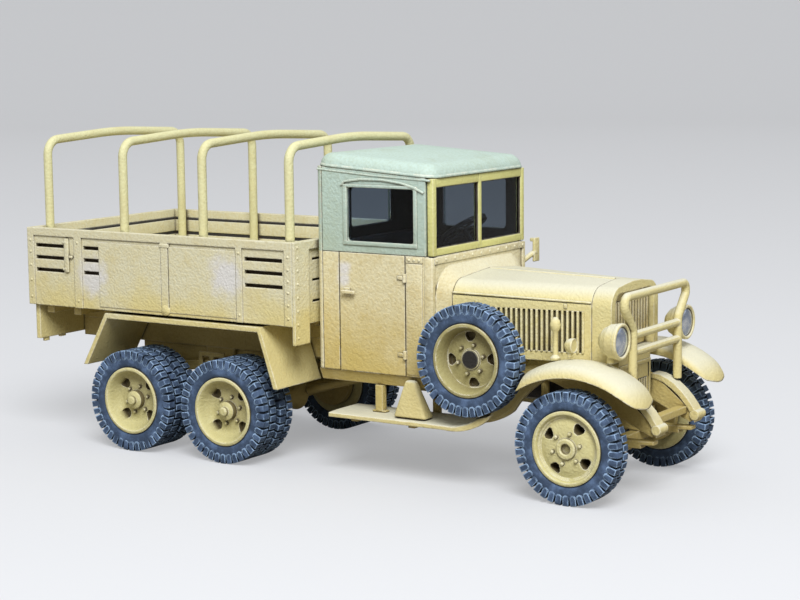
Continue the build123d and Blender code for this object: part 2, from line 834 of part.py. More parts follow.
with BuildPart() as cab_sills:
    with BuildSketch(yz(cab_rear_x)):
        Polygon(
            (cab_half - sill_thickness / 2, cab_low - panel_gap),
            (cab_half - sill_inset, sill_low),
            (cab_half - sill_inset - sill_thickness, sill_low),
            (cab_half - sill_thickness * 3 / 2, cab_low - panel_gap),
            align=None,
        )
    extrude(amount=cab_front_x - cab_rear_x - cowl_corner)
    mirror(about=Plane.XZ)
save(cab_sills, "cab_sills")

seat_low = floor_low + cab_floor_thickness
with BuildPart() as seat:
    seat_half = cab_inner - seat_side_gap
    seat_back_x = cab_rear_x + cab_wall + seat_back_gap
    # x from the seat's back and height over its foot of each corner of its side
    seat_corners = ((0, 0), (0, seat_high), (1.2, seat_high), (2.0, 5.0), (6.3, 5.3), (6.1, 0))
    with BuildSketch(xz(seat_half)) as seat_side:
        Polygon(*[(seat_back_x + along, seat_low + height) for along, height in seat_corners], align=None)
        fillet(seat_side.vertices().group_by(Axis.Y)[-1], seat_round)
    extrude(amount=2 * seat_half)
save(seat, "seat")

with BuildPart() as steering_wheel:
    column = Vector(*wheel_centre) - Vector(*column_foot)
    with Locations(Plane(origin=wheel_centre, z_dir=column)):
        Cylinder(wheel_rim_radius + wheel_rim_tube, 2 * wheel_rim_tube)
        Cylinder(wheel_rim_radius - wheel_rim_tube, 2 * wheel_rim_tube, mode=Mode.SUBTRACT)
        Box(2 * wheel_rim_radius, wheel_spoke, wheel_rim_tube)
        Box(wheel_spoke, 2 * wheel_rim_radius, wheel_rim_tube)
    rod(column_foot, wheel_centre, column_radius)
save(steering_wheel, "steering_wheel")

# Front mudguards: one crowned section carried round the nose, the crown and the sweep, then the board
crown_centre = (front_axle_x, guard_crown_z)
nose_start = radians(guard_nose_start)
nose_shift = guard_crown_radius - guard_nose_radius
nose_centre = (
    crown_centre[0] + nose_shift * cos(nose_start),
    crown_centre[1] + nose_shift * sin(nose_start),
)
sweep_reach = guard_crown_radius + guard_sweep_radius
sweep_z = board_top + guard_sweep_radius
sweep_angle = asin((sweep_z - crown_centre[1]) / sweep_reach)
sweep_centre = (crown_centre[0] - sweep_reach * cos(sweep_angle), sweep_z)
spare_radius = tyre_radius + well_clearance
# y, depth under the ridge and cut of the section's four flattened bends
guard_bends = (
    (guard_outer_y, guard_drop, guard_edge),
    (guard_outer_y - guard_sheet, guard_drop + guard_sheet, guard_edge / 2),
    (guard_inner_y, guard_drop, guard_edge / 2),
    (guard_inner_y + guard_sheet, guard_drop + guard_sheet, guard_edge / 4),
)


def guard_ridge_z(x):
    """Height of the crown stretch's ridge at the given x."""
    return crown_centre[1] + (guard_crown_radius**2 - (x - crown_centre[0]) ** 2) ** 0.5


def crowned_section(up):
    """Corners of the mudguard's section as (y, height over the ridge); up is -1 to turn it over."""
    outer = (
        (guard_inner_y, -guard_lip),
        (guard_inner_y, -guard_drop),
        (guard_ridge_y, 0),
        (guard_outer_y, -guard_drop),
        (guard_outer_y, -guard_lip),
    )
    inner = (
        (guard_outer_y - guard_sheet, -guard_lip),
        (guard_outer_y - guard_sheet, -guard_drop - guard_sheet),
        (guard_ridge_y, -guard_sheet),
        (guard_inner_y + guard_sheet, -guard_drop - guard_sheet),
        (guard_inner_y + guard_sheet, -guard_lip),
    )
    return [(y, up * height) for y, height in outer + inner]


with BuildPart() as mudguards:
    # centre, radius, side of the ridge, start angle from +X and turn of each stretch
    for centre, radius, up, start, turn in (
        (nose_centre, guard_nose_radius, 1, guard_nose_end, guard_nose_start - guard_nose_end),
        (crown_centre, guard_crown_radius, 1, guard_nose_start, 180 - guard_nose_start - sweep_angle * 180 / pi),
        (sweep_centre, guard_sweep_radius, -1, -90, 90 - sweep_angle * 180 / pi),
    ):
        outward = Vector(cos(radians(start)), 0, sin(radians(start)))
        ridge = Vector(centre[0], 0, centre[1]) + outward * radius
        with BuildSketch(Plane(origin=ridge, x_dir=(0, 1, 0), z_dir=Vector(0, 1, 0).cross(outward))) as section:
            Polygon(*crowned_section(up), align=None)
            for bend_y, bend_drop, bend_cut in guard_bends:
                chamfer(section.vertices().sort_by_distance((bend_y, -up * bend_drop))[0], bend_cut)
        revolve(axis=Axis((centre[0], 0, centre[1]), (0, -1, 0)), revolution_arc=turn)
    # the wheel arch under the lip, and the well for the spare tyre
    with BuildSketch(xz(guard_outer_y + cut_margin)):
        with BuildLine():
            ThreePointArc(lip_rear, lip_top, lip_front)
            Polyline(lip_front, (lip_front[0], 0), (lip_rear[0], 0), lip_rear)
        make_face()
    extrude(amount=guard_outer_y - guard_inner_y + 2 * cut_margin, mode=Mode.SUBTRACT)
    block(
        (board_rear_x, lip_rear[0]),
        (guard_inner_y - cut_margin, guard_outer_y + cut_margin),
        (0, board_top - board_thickness),
        mode=Mode.SUBTRACT,
    )
    with BuildSketch(Plane.XY.offset(board_top - board_thickness)) as board_plan:
        area((board_rear_x, board_inner_y), (sweep_centre[0] + board_overlap, guard_outer_y))
        fillet(board_plan.vertices().group_by(Axis.X)[0].sort_by(Axis.Y)[-1], board_corner)
    extrude(amount=board_thickness)
    well_y = spare_half - tyre_width / 2 - well_clearance
    rod((spare_x, well_y, spare_z), (spare_x, well_y + 2 * tyre_width, spare_z), spare_radius, mode=Mode.SUBTRACT)
    mirror(about=Plane.XZ)
save(mudguards, "mudguards")

# Straps that hang the running boards from the rails, with a post up to the sill
with BuildPart() as board_brackets:
    for bracket_x in board_bracket_x:
        span = (bracket_x - bracket_width / 2, bracket_x + bracket_width / 2)
        with BuildSketch(yz(span[0])):
            strap_y = rail_outer_y + seat_gap
            board_low = board_top - board_thickness
            Polygon(
                (strap_y, rail_top - strap_drop),
                (strap_y, board_low - strap_drop),
                (guard_outer_y - strap_setback, board_low - strap_end),
                (guard_outer_y - strap_setback, board_low - seat_gap),
                (strap_y + strap_thickness, board_low - seat_gap),
                (strap_y + strap_thickness, rail_top - strap_drop),
                align=None,
            )
        extrude(amount=bracket_width)
    post_y = cab_half - sill_inset - sill_thickness / 2
    block(
        (sill_post_x - bracket_width, sill_post_x + bracket_width),
        (post_y - sill_thickness, post_y + sill_thickness),
        (board_top + seat_gap, sill_low - seat_gap),
    )
    mirror(about=Plane.XZ)
save(board_brackets, "board_brackets")

# Spare wheels on stems, and the wedge blocks behind them on the boards
spare_outline = (
    (spare_hub, 0.9),
    (2.5, 1.3),
    (3.2, 0.3),
    (3.35, 0),
    (bead_radius, 0),
    (bead_radius, tyre_width),
    (spare_hub, tyre_width),
)
spare_face_y = spare_half + tyre_width / 2
right_spare_tyre = tyre_solid(spare_x, -spare_half, spare_z)
right_spare_disc = disc_solid(spare_x, spare_face_y, spare_z, -1, spare_outline)
with BuildPart() as spare_tyres:
    add(right_spare_tyre)
    mirror(about=Plane.XZ)
save(spare_tyres, "spare_tyres")

with BuildPart() as spare_discs:
    add(right_spare_disc)
    mirror(about=Plane.XZ)
save(spare_discs, "spare_discs")

with BuildPart() as spare_carriers:
    carrier_back = spare_half - tyre_width / 2 - seat_gap
    arm_z = (rail_low + carrier_margin, rail_top - 2 * carrier_margin)
    arm_x = (spare_x - bracket_width, spare_x + bracket_width)
    block(arm_x, (rail_outer_y + seat_gap, carrier_back), arm_z)
    block(arm_x, (carrier_back - carrier_plate, carrier_back), (arm_z[0], spare_z + spare_hub))
    stem_tip = (spare_x, spare_face_y - stem_end, spare_z)
    rod((spare_x, carrier_back, spare_z), stem_tip, spare_hub - carrier_clearance)
    mirror(about=Plane.XZ)
save(spare_carriers, "spare_carriers")

with BuildPart() as spare_chocks:
    chock_y = (guard_outer_y - chock_inset - chock_width, guard_outer_y - chock_inset)
    lean_y = (chock_y[0] + chock_side_lean, chock_y[1] - chock_side_lean)
    # height over the board, then the x range and y range of the block there
    for height, rear_x, front_x, low_y, high_y in (
        (seat_gap, chock_rear_x, chock_front_x, *chock_y),
        (chock_height, chock_rear_x + chock_rear_lean, chock_front_x - chock_front_lean, *lean_y),
    ):
        with BuildSketch(Plane.XY.offset(board_top + height)):
            area((rear_x, low_y), (front_x, high_y))
    loft(ruled=True)
    tyre_cut = (chock_y[0] - cut_margin, chock_y[1] + cut_margin)
    rod((spare_x, tyre_cut[0], spare_z), (spare_x, tyre_cut[1], spare_z), spare_radius, mode=Mode.SUBTRACT)
    mirror(about=Plane.XZ)
save(spare_chocks, "spare_chocks")

# Headlamps: bowls on short posts, with their lenses set in the front
lamp_axis = Axis((lamp_x, lamp_y, lamp_z), (1, 0, 0))
lamp_inner = lamp_radius - lamp_wall
lens_back = lamp_x - lamp_wall
with BuildPart() as headlamp_shells:
    with BuildSketch(Plane(origin=(0, lamp_y, lamp_z), x_dir=(1, 0, 0), z_dir=(0, -1, 0))):
        Polygon(
            (lamp_x - lamp_depth, 0),
            (lens_back - lamp_wall, 0),
            (lens_back - lamp_wall, lamp_inner),
            (lamp_x, lamp_inner),
            (lamp_x, lamp_radius),
            *[(lamp_x - lamp_depth * back, lamp_radius * width) for back, width in lamp_bowl],
            align=None,
        )
    revolve(axis=lamp_axis)
    post_x = lamp_x - lamp_depth / 2
    rod((post_x, lamp_y, guard_ridge_z(post_x) + seat_gap), (post_x, lamp_y, lamp_z - lamp_radius / 2), lamp_post)
    mirror(about=Plane.XZ)
save(headlamp_shells, "headlamp_shells")

with BuildPart() as headlamp_lenses:
    lens_seat = lens_back - lamp_wall + seat_gap
    rod((lens_seat, lamp_y, lamp_z), (lens_back + lens_proud, lamp_y, lamp_z), lamp_inner - panel_gap)
    mirror(about=Plane.XZ)
save(headlamp_lenses, "headlamp_lenses")

# Brush guard: one bent tube with two bars across it
with BuildPart() as brush_guard:
    with BuildLine(yz(tube_plane_x)) as tube_path:
        FilletPolyline(
            (-tube_post_y, tube_post_low),
            (-tube_post_y, tube_bend_z),
            (-tube_head_y, tube_head_low),
            (-tube_head_y, tube_head_top),
            (tube_head_y, tube_head_top),
            (tube_head_y, tube_head_low),
            (tube_post_y, tube_bend_z),
            (tube_post_y, tube_post_low),
            radius=tube_bend,
        )
    with BuildSketch(Plane(origin=(tube_plane_x, -tube_post_y, tube_post_low))):
        RegularPolygon(tube_radius, tube_sides)
    sweep(path=tube_path.wires()[0])
    for bar_z in tube_bar_z:
        with BuildSketch(xz(tube_post_y)):
            with Locations((tube_plane_x, bar_z)):
                RegularPolygon(tube_bar_radius, tube_sides)
        extrude(amount=2 * tube_post_y)
save(brush_guard, "brush_guard")

# Marker posts and side lamps on the mudguards, and the mirror on the left of the cowl
with BuildPart() as marker_posts:
    rod((marker_x, marker_y, guard_ridge_z(marker_x) + seat_gap), (marker_x, marker_y, marker_top), marker_stick)
    with Locations((marker_x, marker_y, marker_top)):
        Cylinder(marker_ball, 2 * marker_ball)
    chamfer(marker_posts.edges().filter_by(GeomType.CIRCLE).sort_by(Axis.Z)[-2:], marker_edge)
    mirror(about=Plane.XZ)
save(marker_posts, "marker_posts")

with BuildPart() as side_lamps:
    lamp_back_x = side_lamp_x - side_lamp_depth
    rod((lamp_back_x, side_lamp_y, side_lamp_z), (side_lamp_x, side_lamp_y, side_lamp_z), side_lamp_radius)
    stalk_x = side_lamp_x - side_lamp_depth / 2
    stalk_foot = (stalk_x, side_lamp_y, guard_ridge_z(stalk_x) + seat_gap)
    rod(stalk_foot, (stalk_x, side_lamp_y, side_lamp_z), marker_stick)
    mirror(about=Plane.XZ)
save(side_lamps, "side_lamps")

with BuildPart() as mirror_arm:
    mirror_head = (mirror_x + mirror_lean, mirror_y, mirror_head_z)
    rod((mirror_x, cab_half + seat_gap, mirror_foot_z), mirror_head, mirror_stick)
    with BuildSketch(yz(mirror_head[0] - mirror_plate / 2)):
        with Locations((mirror_y, mirror_head_z)):
            SlotOverall(mirror_height, mirror_width, rotation=90)
    extrude(amount=mirror_plate)
save(mirror_arm, "mirror_arm")

# Cargo bed: floor, sides, tailgate and headboard round it, bearers below and hoops above
with BuildPart() as bed_floor_boards:
    block(
        (bed_rear_x + bed_wall + panel_gap, bed_front_x - bed_wall - panel_gap),
        (-bed_inner, bed_inner),
        (bed_low, floor_top),
    )
    with BuildSketch(yz(bed_rear_x)):
        with Locations((0, floor_top)):
            with GridLocations(2 * bed_inner / floor_planks, 1, floor_planks - 1, 1):
                Rectangle(plank_groove, plank_groove * 2)
    extrude(amount=bed_front_x - bed_rear_x, mode=Mode.SUBTRACT)
save(bed_floor_boards, "bed_floor")

with BuildPart() as bed_sides:
    with BuildSketch(xz(bed_half - bed_trim)):
        area((bed_rear_x, bed_low), (bed_front_x, bed_top))
        for slot_rear_x, slot_front_x in bed_slots:
            for slot_z in bed_slot_z:
                area((slot_rear_x, slot_z), (slot_front_x, slot_z + slot_height), mode=Mode.SUBTRACT)
    extrude(amount=bed_wall)
    with BuildSketch(xz(bed_half)):
        for rear_x, front_x, low_z, high_z in bed_trims:
            area((rear_x, low_z), (front_x, high_z))
    extrude(amount=bed_trim)
    with BuildSketch(xz(bed_half - bed_trim + bed_plate)):
        for rear_x, front_x in bed_plates:
            area((rear_x, bed_low + bed_plate_margin), (front_x, bed_top - bed_rail - bed_plate_margin))
    extrude(amount=bed_plate)
    mirror(about=Plane.XZ)
save(bed_sides, "bed_sides")

# name and x of the rear face of the two end boards
for board_name, board_x in (("tailgate", bed_rear_x), ("headboard", bed_front_x - bed_wall)):
    with BuildPart() as end_board:
        with BuildSketch(yz(board_x)):
            area((-bed_inner, bed_low), (bed_inner, bed_top))
            for slot_z in board_slot_z:
                for side in (-1, 1):
                    slot_y = sorted((side * board_slot_inner, side * (bed_inner - board_slot_margin)))
                    area((slot_y[0], slot_z), (slot_y[1], slot_z + plank_groove), mode=Mode.SUBTRACT)
        extrude(amount=bed_wall)
        if board_name == "headboard":
            with BuildSketch(yz(bed_front_x)):
                area((strip_inner_y, strip_low), (bed_half, bed_top))
                area((-bed_half, strip_low), (-strip_inner_y, bed_top))
                area((-strip_inner_y, bed_top - bed_rail), (strip_inner_y, bed_top))
            extrude(amount=strip_thickness)
    save(end_board, board_name)

# Sills along the rails and bearers across them carry the bed
with BuildPart() as bed_sills:
    for side in (-1, 1):
        block(
            (rail_rear_x, bed_front_x - bed_wall),
            (side * rail_inner_y, side * rail_outer_y),
            (rail_top, rail_top + sill_height),
        )
save(bed_sills, "bed_sills")

with BuildPart() as bed_bearers:
    for bearer_x in long_bearer_x + short_bearer_x:
        bearer_half = bed_half - bearer_inset if bearer_x in long_bearer_x else short_bearer_half
        block(
            (bearer_x - bearer_half_width, bearer_x + bearer_half_width),
            (-bearer_half, bearer_half),
            (rail_top + sill_height, bed_low),
        )
save(bed_bearers, "bed_bearers")

with BuildPart() as hoops:
    for x in hoop_x:
        with BuildLine(yz(x)) as hoop_path:
            FilletPolyline(
                (-hoop_half, floor_top),
                (-hoop_half, hoop_shoulder_z),
                (0, hoop_crown_z),
                (hoop_half, hoop_shoulder_z),
                (hoop_half, floor_top),
                radius=[hoop_corner, hoop_crown_bend, hoop_corner],
            )
        with BuildSketch(Plane(origin=(x, -hoop_half, floor_top))):
            RegularPolygon(hoop_radius, tube_sides)
        sweep(path=hoop_path.wires()[0])
save(hoops, "hoops")

with BuildPart() as rear_board:
    rear_board_front = rail_rear_x - seat_gap
    block(
        (rear_board_front - rear_board_thickness, rear_board_front),
        (-bed_inner, bed_inner),
        (rear_board_low, bed_low - seat_gap),
    )
save(rear_board, "rear_board")

# Rear mudguards: bent plates over each pair of twin wheels
with BuildPart() as rear_mudguards:
    with BuildSketch(xz(rear_guard_outer_y)) as guard_side:
        with BuildLine():
            Polyline(
                rear_guard_rear,
                (rear_guard_top_rear_x, rear_guard_top),
                (rear_guard_top_front_x, rear_guard_top),
                rear_guard_front,
                (rear_guard_front[0] - rear_guard_sheet, rear_guard_front[1]),
                (rear_guard_top_front_x - rear_guard_sheet / 2, rear_guard_top - rear_guard_sheet),
                (rear_guard_top_rear_x + rear_guard_sheet / 2, rear_guard_top - rear_guard_sheet),
                (rear_guard_rear[0] + rear_guard_sheet, rear_guard_rear[1]),
                close=True,
            )
        make_face()
    extrude(amount=rear_guard_outer_y - rear_guard_inner_y)
    mirror(about=Plane.XZ)
save(rear_mudguards, "rear_mudguards")

# Road wheels: each side of each axle turns as one body, the rear ones with twin tyres
front_outline = (
    (0, 0.4),
    (0.5, 0.4),
    (0.5, -0.1),
    (1.05, -0.1),
    (1.05, 0.25),
    (2.85, 0.5),
    (3.25, 0),
    (bead_radius, 0),
    (bead_radius, tyre_width),
    (bore_radius, tyre_width),
    (bore_radius, 0.65),
    (0, 0.65),
)
twin_outline = (
    (0, 0.1),
    (0.5, 0.1),
    (0.5, 0.45),
    (0.95, 0.45),
    (0.95, 1.3),
    (2.5, 1.5),
    (3.2, 0.3),
    (3.35, 0),
    (bead_radius, 0),
    (bead_radius, tyre_width + twin_pitch),
    (bore_radius, tyre_width + twin_pitch),
    (bore_radius, 0.65),
    (0, 0.65),
)
# axle name, its x, half track at the outer tyre, tyres on each side and disc outline
wheel_sets = (
    ("front", front_axle_x, front_track_half, 1, front_outline),
    ("middle", middle_axle_x, rear_track_half, 2, twin_outline),
    ("rear", rear_axle_x, rear_track_half, 2, twin_outline),
)
for axle_name, axle_x, track_half, tyre_count, outline in wheel_sets:
    for side_name, side in (("right", -1), ("left", 1)):
        tyre_solids = []
        for index in range(tyre_count):
            tyre_solids.append(tyre_solid(axle_x, side * (track_half - index * twin_pitch), axle_height))
        wheel_disc = disc_solid(axle_x, track_half + tyre_width / 2, axle_height, side, outline)
        with BuildPart() as tyres:
            add(tyre_solids)
        save(tyres, f"{axle_name}_{side_name}_tyre" + "s" * (tyre_count - 1))
        with BuildPart() as disc:
            add(wheel_disc)
        save(disc, f"{axle_name}_{side_name}_disc")
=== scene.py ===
# %% [markdown]
# # A painted scale model of a six-wheeled truck
# The imported model is the fixed frame: every piece made below is in metres, in the same place as the solid
# that carries it. The first step loads that frame. Nothing that is added may stand outside it.

# %% Load the imported model
from math import cos, pi, radians, sin

import bmesh
import bpy
from mathutils import Matrix, Quaternion, Vector


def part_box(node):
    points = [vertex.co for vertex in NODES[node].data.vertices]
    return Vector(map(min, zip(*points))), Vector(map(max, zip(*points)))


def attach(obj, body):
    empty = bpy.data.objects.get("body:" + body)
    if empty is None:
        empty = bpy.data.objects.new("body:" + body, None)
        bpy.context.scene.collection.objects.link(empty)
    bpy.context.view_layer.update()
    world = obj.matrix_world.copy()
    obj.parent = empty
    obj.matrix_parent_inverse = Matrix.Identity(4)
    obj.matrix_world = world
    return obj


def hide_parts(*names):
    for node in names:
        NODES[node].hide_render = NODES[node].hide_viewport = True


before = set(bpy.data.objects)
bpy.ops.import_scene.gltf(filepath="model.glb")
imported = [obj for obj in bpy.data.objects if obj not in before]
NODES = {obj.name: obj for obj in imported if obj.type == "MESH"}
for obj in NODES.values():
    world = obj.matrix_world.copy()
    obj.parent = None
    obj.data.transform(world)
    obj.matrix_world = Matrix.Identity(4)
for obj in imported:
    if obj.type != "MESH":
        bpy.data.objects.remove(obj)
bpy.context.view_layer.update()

MM = 0.001
SIDES = (-1, 1)

# %% [markdown]
# ## Camera
# The photograph looks at the truck's right front corner from just above the roof line. The camera could be
# framed by eye, but its place was solved from the wheel centres and panel corners, so that every part of
# the render can be laid over the same part of the photograph.

# %% Camera at the photograph's angle
CAMERA_PLACE = Vector((115.609, -171.224, 44.987)) * MM
CAMERA_AZIMUTH = radians(33.083)
CAMERA_ELEVATION = radians(7.802)
CAMERA_ROLL = radians(-0.598)
CAMERA_LENS = 86.69
CAMERA_CLIP = (0.01, 20)
SENSOR_WIDTH = 36


def place_camera():
    """Camera that looks back along its azimuth and elevation, with the photograph's slight roll."""
    data = bpy.data.cameras.new("photo_camera")
    data.lens = CAMERA_LENS
    data.sensor_width = SENSOR_WIDTH
    data.sensor_fit = "HORIZONTAL"
    data.clip_start, data.clip_end = CAMERA_CLIP
    camera = bpy.data.objects.new("photo_camera", data)
    flat = cos(CAMERA_ELEVATION)
    back = Vector((sin(CAMERA_AZIMUTH) * flat, -cos(CAMERA_AZIMUTH) * flat, sin(CAMERA_ELEVATION)))
    camera.rotation_mode = "QUATERNION"
    camera.rotation_quaternion = (-back).to_track_quat("-Z", "Y") @ Quaternion((0, 0, 1), CAMERA_ROLL)
    camera.location = CAMERA_PLACE
    bpy.context.scene.collection.objects.link(camera)
    bpy.context.scene.camera = camera
    return camera


print("camera:", place_camera().name)

# %% [markdown]
# ## Helpers for meshes
# Most small fittings are turned profiles, bent tubes, skins through rings of points, or boxes with broken
# edges. A helper for each adds it to a bmesh, so that a fitting made of several bits is still one object. The
# turned profile comes first, and the others where they are first needed. One function closes an object off:
# it merges doubles, sets the smooth shading and ties the piece to its body.

# %% Mesh helpers
SMOOTH_ANGLE = radians(35)
SAME_PLACE = 1e-7


def new_object(name, data):
    """Object with the given data, linked to the scene."""
    made = bpy.data.objects.new(name, data)
    bpy.context.scene.collection.objects.link(made)
    return made


def plain_mesh(mesh, name):
    """Mesh data made from a bmesh, which is freed."""
    data = bpy.data.meshes.new(name)
    mesh.to_mesh(data)
    mesh.free()
    return data


def evaluated_mesh(holder):
    """Plain mesh of a curve, or of an object with a modifier; the object is removed."""
    bpy.context.view_layer.update()
    data = bpy.data.meshes.new_from_object(holder.evaluated_get(bpy.context.evaluated_depsgraph_get()))
    holder.modifiers.clear()
    bpy.data.objects.remove(holder)
    return data


def add_turned(mesh, profile, axis_start, axis_end, segments=48):
    """Surface turned from (radius, distance along the axis) corners in mm about a line between two points."""
    start = Vector(axis_start)
    direction = (Vector(axis_end) - start).normalized()
    turn = direction.to_track_quat("Z", "Y").to_matrix()
    rings = []
    for radius, along in profile:
        if radius <= 0:
            rings.append([mesh.verts.new((start + direction * along) * MM)])
            continue
        ring = []
        for step in range(segments):
            angle = 2 * pi * step / segments
            offset = turn @ Vector((radius * cos(angle), radius * sin(angle), along))
            ring.append(mesh.verts.new((start + offset) * MM))
        rings.append(ring)
    for inner, outer in zip(rings, rings[1:]):
        for step in range(segments):
            corners = [inner[step % len(inner)], inner[(step + 1) % segments % len(inner)]]
            corners += [outer[(step + 1) % segments % len(outer)], outer[step % len(outer)]]
            corners = list(dict.fromkeys(corners))
            if len(corners) > 2:
                mesh.faces.new(corners)


def close_piece(mesh, name, material, **ties):
    """Turn a bmesh into a finished piece that rides on its body."""
    bmesh.ops.remove_doubles(mesh, verts=mesh.verts, dist=SAME_PLACE)
    bmesh.ops.recalc_face_normals(mesh, faces=mesh.faces)
    dress_mesh(plain_mesh(mesh, name), name, material, **ties)


def dress_mesh(data, name, material, body="truck", slot="tan_paint", hides=()):
    """Make a piece from a plain mesh, with smooth shading, a material and a body; the slot argument is not
    used.
    """
    data.shade_smooth()
    data.set_sharp_from_angle(angle=SMOOTH_ANGLE)
    data.materials.clear()
    data.materials.append(material)
    piece = new_object(name, data)
    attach(piece, body)
    if hides:
        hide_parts(*hides)
    print(name, len(data.polygons), "faces")


print("a piece is smooth where its faces meet at less than", round(SMOOTH_ANGLE * 180 / pi), "degrees")

# %% [markdown]
# ## Helpers for materials
# A material is a small graph of nodes. Each helper adds one node, or one common pair, and hands back its
# output, so that a paint reads from top to bottom like a recipe. Patterns use the object's own coordinates,
# so that they stay on the piece when it turns.

# %% Shader helpers


def new_material(name):
    """New material, with its node tree and its shader."""
    material = bpy.data.materials.new(name)
    material.use_nodes = True
    return material, material.node_tree, material.node_tree.nodes["Principled BSDF"]


def start_group(name, inputs, outputs):
    """New shader group with named sockets; returns the tree and its input and output nodes."""
    tree = bpy.data.node_groups.new(name, "ShaderNodeTree")
    for title, value in inputs:
        tree.interface.new_socket(title, in_out="INPUT", socket_type="NodeSocketFloat").default_value = value
    for title, kind in outputs:
        tree.interface.new_socket(title, in_out="OUTPUT", socket_type=kind)
    return tree, tree.nodes.new("NodeGroupInput"), tree.nodes.new("NodeGroupOutput")


def feed(tree, socket, value):
    """Link an input to another socket, or set it to a value."""
    if isinstance(value, bpy.types.NodeSocket):
        tree.links.new(value, socket)
    else:
        socket.default_value = value


def add_node(tree, kind, inputs=None, **settings):
    """New node with settings and with inputs that are values or sockets to link."""
    node = tree.nodes.new(kind)
    for key, value in settings.items():
        setattr(node, key, value)
    for key, value in (inputs or {}).items():
        feed(tree, node.inputs[key], value)
    return node


def mix_colours(tree, share, first, second):
    """Colour output that goes from the first to the second colour by a share."""
    node = add_node(tree, "ShaderNodeMix", data_type="RGBA")
    for index, value in ((0, share), (6, first), (7, second)):
        feed(tree, node.inputs[index], value)
    return node.outputs[2]


def maths(tree, operation, first, second=0.0):
    """Output of one maths node."""
    return add_node(tree, "ShaderNodeMath", {0: first, 1: second}, operation=operation).outputs[0]


def times(tree, first, second):
    """Product of two values."""
    return maths(tree, "MULTIPLY", first, second)


def layer(tree, under, over, mask, strength):
    """Colour laid over another where a mask is, at most by the given strength."""
    return mix_colours(tree, times(tree, mask, strength), under, over)


def ramp(tree, value, low, high):
    """Value output that rises from 0 to 1 between low and high."""
    inputs = {"Value": value, "From Min": low, "From Max": high}
    return add_node(tree, "ShaderNodeMapRange", inputs, interpolation_type="SMOOTHSTEP").outputs[0]


def own_place(tree):
    """The object's own coordinates in metres."""
    return add_node(tree, "ShaderNodeTexCoord").outputs["Object"]


def noise(tree, size, detail=2.0, roughness=0.5):
    """Noise over the object's own coordinates, with features of about that many mm."""
    inputs = {"Vector": own_place(tree), "Scale": 1 / (size * MM), "Detail": detail, "Roughness": roughness}
    return add_node(tree, "ShaderNodeTexNoise", inputs).outputs[0]


print("a paint is built from", [helper.__name__ for helper in (noise, ramp, layer)])

# %% [markdown]
# ## Studio
# The model stands on a pale sweep that curves up all round it, so that no horizon shows from any side.
# Light comes from the whole sky, softly, and from one large lamp above the truck's front right corner,
# where the photograph's brightest surfaces face. The paper looks pale to the camera but throws little light
# back, because the photograph's shaded undersides are deep.

# %% Sweep, sky and lamp
SWEEP_FLAT = 800
SWEEP_CURVE = 300
SWEEP_PROFILE = [(0, 0), (SWEEP_FLAT, 0)] + [
    (SWEEP_FLAT + SWEEP_CURVE * sin(radians(angle)), SWEEP_CURVE - SWEEP_CURVE * cos(radians(angle)))
    for angle in range(10, 91, 10)
]
SWEEP_SEEN = (0.40, 0.41, 0.43, 1)
SWEEP_BOUNCE = (0.25, 0.23, 0.20, 1)
SWEEP_GLOW = (0.34, 0.345, 0.355, 1)
SKY_COLOUR = (1, 1, 1, 1)
SKY_STRENGTH = 0.57
LAMP_PLACE = Vector((205, -258, 325)) * MM
LAMP_SIZE = 240 * MM
LAMP_POWER = 2.05


def make_sweep():
    """Paper floor that is paler to the camera than to the light that it throws back."""
    mesh = bmesh.new()
    add_turned(mesh, SWEEP_PROFILE, (0, 0, 0), (0, 0, 1), segments=96)
    bmesh.ops.recalc_face_normals(mesh, faces=mesh.faces)
    data = plain_mesh(mesh, "sweep")
    data.shade_smooth()
    paper, tree, shader = new_material("sweep_paper")
    shader.inputs["Roughness"].default_value = 0.9
    shader.inputs["Emission Color"].default_value = SWEEP_GLOW
    seen = add_node(tree, "ShaderNodeLightPath").outputs["Is Camera Ray"]
    tree.links.new(mix_colours(tree, seen, SWEEP_BOUNCE, SWEEP_SEEN), shader.inputs["Base Color"])
    tree.links.new(seen, shader.inputs["Emission Strength"])
    data.materials.append(paper)
    new_object("sweep", data)


def make_lights():
    """Even sky and one soft lamp."""
    world = bpy.data.worlds.new("sky")
    world.use_nodes = True
    sky = world.node_tree.nodes["Background"]
    sky.inputs["Color"].default_value = SKY_COLOUR
    sky.inputs["Strength"].default_value = SKY_STRENGTH
    bpy.context.scene.world = world
    lamp_data = bpy.data.lights.new("softbox", "AREA")
    lamp_data.shape = "DISK"
    lamp_data.size = LAMP_SIZE
    lamp_data.energy = LAMP_POWER
    lamp = new_object("softbox", lamp_data)
    lamp.location = LAMP_PLACE
    lamp.rotation_euler = (-LAMP_PLACE).to_track_quat("-Z", "Y").to_euler()
    bpy.context.scene.view_settings.view_transform = "Standard"


make_sweep()
make_lights()
print("studio: sweep, sky and softbox")
